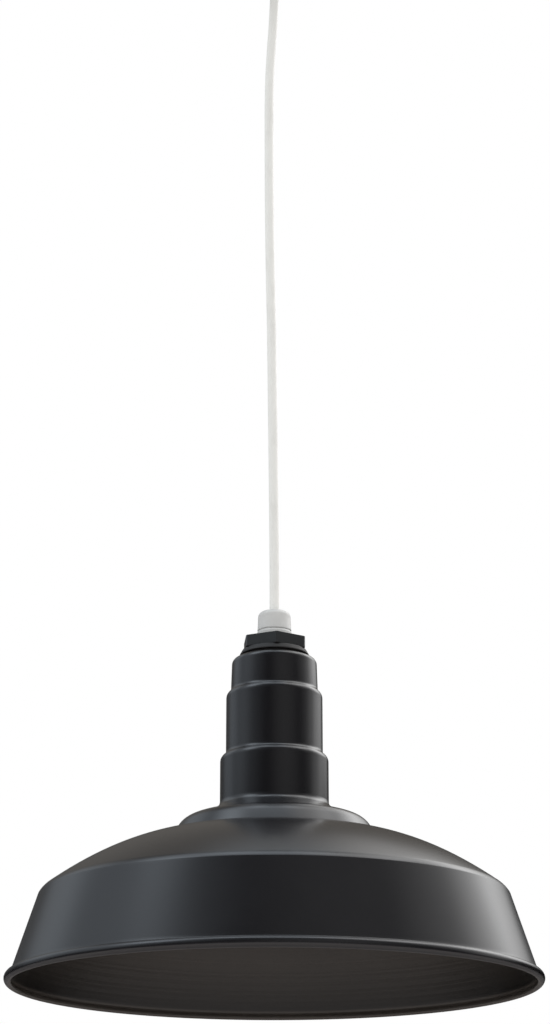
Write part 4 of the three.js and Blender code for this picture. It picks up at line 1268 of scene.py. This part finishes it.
def make_canopy():
    outside = Outline([(CANOPY_BORE, -CANOPY_DEPTH)])
    outside.arc(CANOPY_R - CANOPY_ROUND, CANOPY_ROUND - CANOPY_DEPTH, CANOPY_ROUND, -90, 0, 14)
    outside.to(CANOPY_R, -0.35).to(CANOPY_R - 0.3, 0)
    inside = inset(outside[:-2] + [(CANOPY_R, 0)], CANOPY_WALL)
    body = lathe("spun_canopy", list(outside) + inside[::-1], 0, 160, None, 36)
    holes = []
    for side, _ in SIDES:
        hole = lathe("hole", [(0, -30), (M4_HOLE_R, -30), (M4_HOLE_R, -20), (0, -20)], 0, 32)
        holes.append(turned_to(hole, UPRIGHT, (side * CANOPY_SCREW_X * MM, 0, 0)))
    settle("spun_canopy", cut(body, holes, 36), SPUN_COAT, "ceiling_fitting", "black_coat", "canopy")


def make_mounting_bar():
    node = "mounting_bar"
    holes = []
    for side, _ in SIDES:
        holes.append(stadium(side * SLOT_X, 0, 9, 2.4, 12))
        holes.append(circle(side * CANOPY_SCREW_X, 0, M4_HOLE_R, 32))
    holes.append(circle(BAR_GROUND_X, 0, M4_HOLE_R, 32))
    bar = pressed_plate("slotted_bar", stadium(0, 0, 108, 10, 24), holes, low(node), 3, 0.3)
    settle("slotted_bar", bar, ZINC, "ceiling_fitting", "zinc_steel", node)
    screw = m4_screw("canopy_screw", 25)
    for side, word in SIDES:
        node = "canopy_screw_" + word
        seat = (side * CANOPY_SCREW_X * MM, 0, low(node) + M4_HEAD * MM)
        put_screw(node, screw, UPRIGHT, seat, SPUN_COAT, "ceiling_fitting", "black_coat")
    node = "bar_ground_screw"
    seat = (BAR_GROUND_X * MM, 0, low(node) + M4_HEAD * MM)
    put_screw(node, m4_screw(node, 3), UPRIGHT, seat, GREEN_STEEL, "ceiling_fitting", "green_steel")


def ribs(radius, height, angle):
    """The grip of a wire nut, sunk into its side."""
    if radius < 4 or not 3 < height < 19:
        return radius, height
    return radius - RIB_DEPTH * (0.5 - 0.5 * math.cos(RIBS * angle)), height


def make_splices():
    top = -14 + 0.3       # where the sheath of the cord's tail ends, with the wires let into it
    cone = divided(rounded([
        (0, 3, 0), (1.5, 3, 0), (1.5, 0, 0.2), (6, 0, 0.5), (5.9, 2.6, 0.3), (4.4, 19.5, 0.8), (2.9, 21, 0.8),
        (0, 21, 0)], 4), 1.0)
    for word, side, finish in (("black", 1, WIRE_BLACK), ("white", -1, WIRE_WHITE)):
        route = [(side * 1.4, 1.4, top), (side * 1.4, 1.4, top + 1.5), (side * 2, 6.5, -10),
                 (side * 3, 15.6, -9), (side * 6, 23.4, -11), (side * 9, WIRE_NUT_Y, WIRE_NUT_Z),
                 (side * 14.7, WIRE_NUT_Y, WIRE_NUT_Z)]
        lead("canopy_lead_" + word, route, finish, "ceiling_fitting", "wire_" + word)
        turn = Matrix.Rotation(side * math.pi / 2, 3, "Y")
        seat = (side * 12 * MM, WIRE_NUT_Y * MM, WIRE_NUT_Z * MM)
        nut = turned_to(lathe("wire_nut", cone, 0, 96, ribs, 30), turn, seat)
        settle("wire_nut_%s_detail" % word, nut, ORANGE, "ceiling_fitting", "orange_plastic",
               "wire_nut_" + word)
    end_x = -11.9
    route = [(0, -2, top), (0, -2, top + 2), (-2, -2, top + 5.4), (0.42 * end_x, -0.8, -5.5),
             (0.7 * end_x, 0, -4.5), (end_x, 0, -4.5)]
    lead("canopy_lead_green", route, WIRE_GREEN, "ceiling_fitting", "wire_green")


make_canopy()
make_locknut("canopy_locknut", 13.9, CANOPY_BORE, -90, "ceiling_fitting")
make_mounting_bar()
make_splices()


# ---------- floor and light ----------
FLOOR_DROP = 0.9          # the floor is this far below the shade, in metres
FLOOR_R = 3.2


def make_floor():
    """A pale round floor that fades out towards its edge and isn't seen from beneath."""
    shape = bmesh.new()
    bmesh.ops.create_circle(shape, cap_ends=True, segments=96, radius=FLOOR_R)
    mesh = mesh_from(shape, "studio_floor")
    floor = bpy.data.objects.new("studio_floor", mesh)
    bpy.context.scene.collection.objects.link(floor)
    floor.location.z = RIM - FLOOR_DROP
    material = bpy.data.materials.new("pale floor")
    material.use_nodes = True
    tree = material.node_tree
    principled = tree.nodes["Principled BSDF"]
    where = object_space(tree)
    grain = spread(tree, noise(tree, where, 3.0, 4.0), 0.3, 0.7, 0.0, 1.0)
    pale = blend_colours(tree, grain, colour(0.71, 0.655, 0.63), colour(0.74, 0.685, 0.66))
    tree.links.new(pale, principled.inputs["Base Color"])
    principled.inputs["Roughness"].default_value = 0.9
    principled.inputs["Specular IOR Level"].default_value = 0.1
    clear = place(tree, "ShaderNodeBsdfTransparent")
    far = place(tree, "ShaderNodeVectorMath", {0: where}, operation="LENGTH").outputs["Value"]
    fade = place(tree, "ShaderNodeMapRange", {0: far, 1: 1.9, 2: 3.1}, interpolation_type="SMOOTHSTEP")
    beneath = place(tree, "ShaderNodeNewGeometry").outputs["Backfacing"]
    hidden = maths(tree, "MAXIMUM", fade.outputs[0], beneath)
    mix = place(tree, "ShaderNodeMixShader", {0: hidden, 1: principled.outputs[0], 2: clear.outputs[0]})
    tree.links.new(mix.outputs[0], tree.nodes["Material Output"].inputs["Surface"])
    mesh.materials.append(material)


WIDE = 0.766                 # cosine of the angle from its middle at which a soft light ends
MIDDLING = 0.93
NARROW = 0.96
NEUTRAL = Vector((1, 1, 1))
COOL = Vector((0.9, 1, 1.1))
WARM = Vector((1.15, 1, 0.8))
# what it is, degrees right of the front and above level, how wide it is, and its light
SOFT_LIGHTS = [
    ("front, low", 20, 0, WIDE, 0.15 * NEUTRAL),
    ("front wall", 30, 35, WIDE, 0.2 * NEUTRAL),
    ("back wall", 180, 50, WIDE, 0.15 * WARM),
    ("backdrop, low", 180, -8, MIDDLING, 1 * NEUTRAL),
    ("left wall, behind", -150, 35, WIDE, 0.15 * NEUTRAL),
    ("left wall", -90, 35, WIDE, 0.7 * COOL),
    ("left wall, in front", -60, 35, WIDE, 0.35 * COOL),
    ("left wall, low", -115, 8, MIDDLING, 0.4 * COOL),
    ("left softbox", -70, 52, NARROW, 2 * COOL),
    ("left window", -130, 32, MIDDLING, 0.6 * COOL),
    ("overhead softbox", 0, 84, MIDDLING, 2.2 * COOL),
    ("overhead softbox, left", -90, 68, MIDDLING, 1.6 * COOL),
    ("overhead softbox, right", 88, 66, MIDDLING, 2.6 * NEUTRAL),
    ("overhead softbox, behind", 180, 68, NARROW, 0.8 * COOL),
    ("right wall", 84, 30, MIDDLING, 0.5 * NEUTRAL),
    ("right wall, low", 103, 9, MIDDLING, 0.9 * NEUTRAL),
    ("right wall, high", 106, 50, MIDDLING, 1.6 * NEUTRAL),
    ("right window, near", 122, 30, MIDDLING, 2.2 * NEUTRAL),
    ("right window, far", 141, 30, MIDDLING, 2 * NEUTRAL),
    ("right window, high", 141, 50, MIDDLING, 2 * NEUTRAL),
]
DIFFUSE_LEVEL = 1.1


def make_world():
    world = bpy.data.worlds.new("studio")
    bpy.context.scene.world = world
    world.use_nodes = True
    tree = world.node_tree
    tree.nodes.clear()
    way = place(tree, "ShaderNodeTexCoord").outputs["Generated"]
    total = (0, 0, 0)
    for name, right, up, edge, strength in SOFT_LIGHTS:
        around = math.radians(right)
        height = math.radians(up)
        axis = (math.sin(around) * math.cos(height), -math.cos(around) * math.cos(height), math.sin(height))
        facing = place(tree, "ShaderNodeVectorMath", {0: way, 1: axis}, operation="DOT_PRODUCT")
        lobe = place(tree, "ShaderNodeMapRange", {0: facing.outputs["Value"], 1: edge, 2: 1.0},
                     interpolation_type="SMOOTHSTEP", label=name)
        added = place(tree, "ShaderNodeVectorMath", {0: lobe.outputs[0], 1: strength, 2: total},
                      operation="MULTIPLY_ADD")
        total = added.outputs["Vector"]
    path = place(tree, "ShaderNodeLightPath").outputs
    seen = maths(tree, "MAXIMUM", path["Is Camera Ray"], path["Is Transmission Ray"])
    even = colour(DIFFUSE_LEVEL, DIFFUSE_LEVEL, DIFFUSE_LEVEL)
    plain = blend_colours(tree, path["Is Diffuse Ray"], total, even)
    level = blend_colours(tree, seen, plain, colour(1, 1, 1))
    background = place(tree, "ShaderNodeBackground", {"Color": level, "Strength": 1.0})
    output = place(tree, "ShaderNodeOutputWorld")
    tree.links.new(background.outputs[0], output.inputs["Surface"])


make_floor()
make_world()
bpy.context.scene.view_settings.view_transform = "Standard"
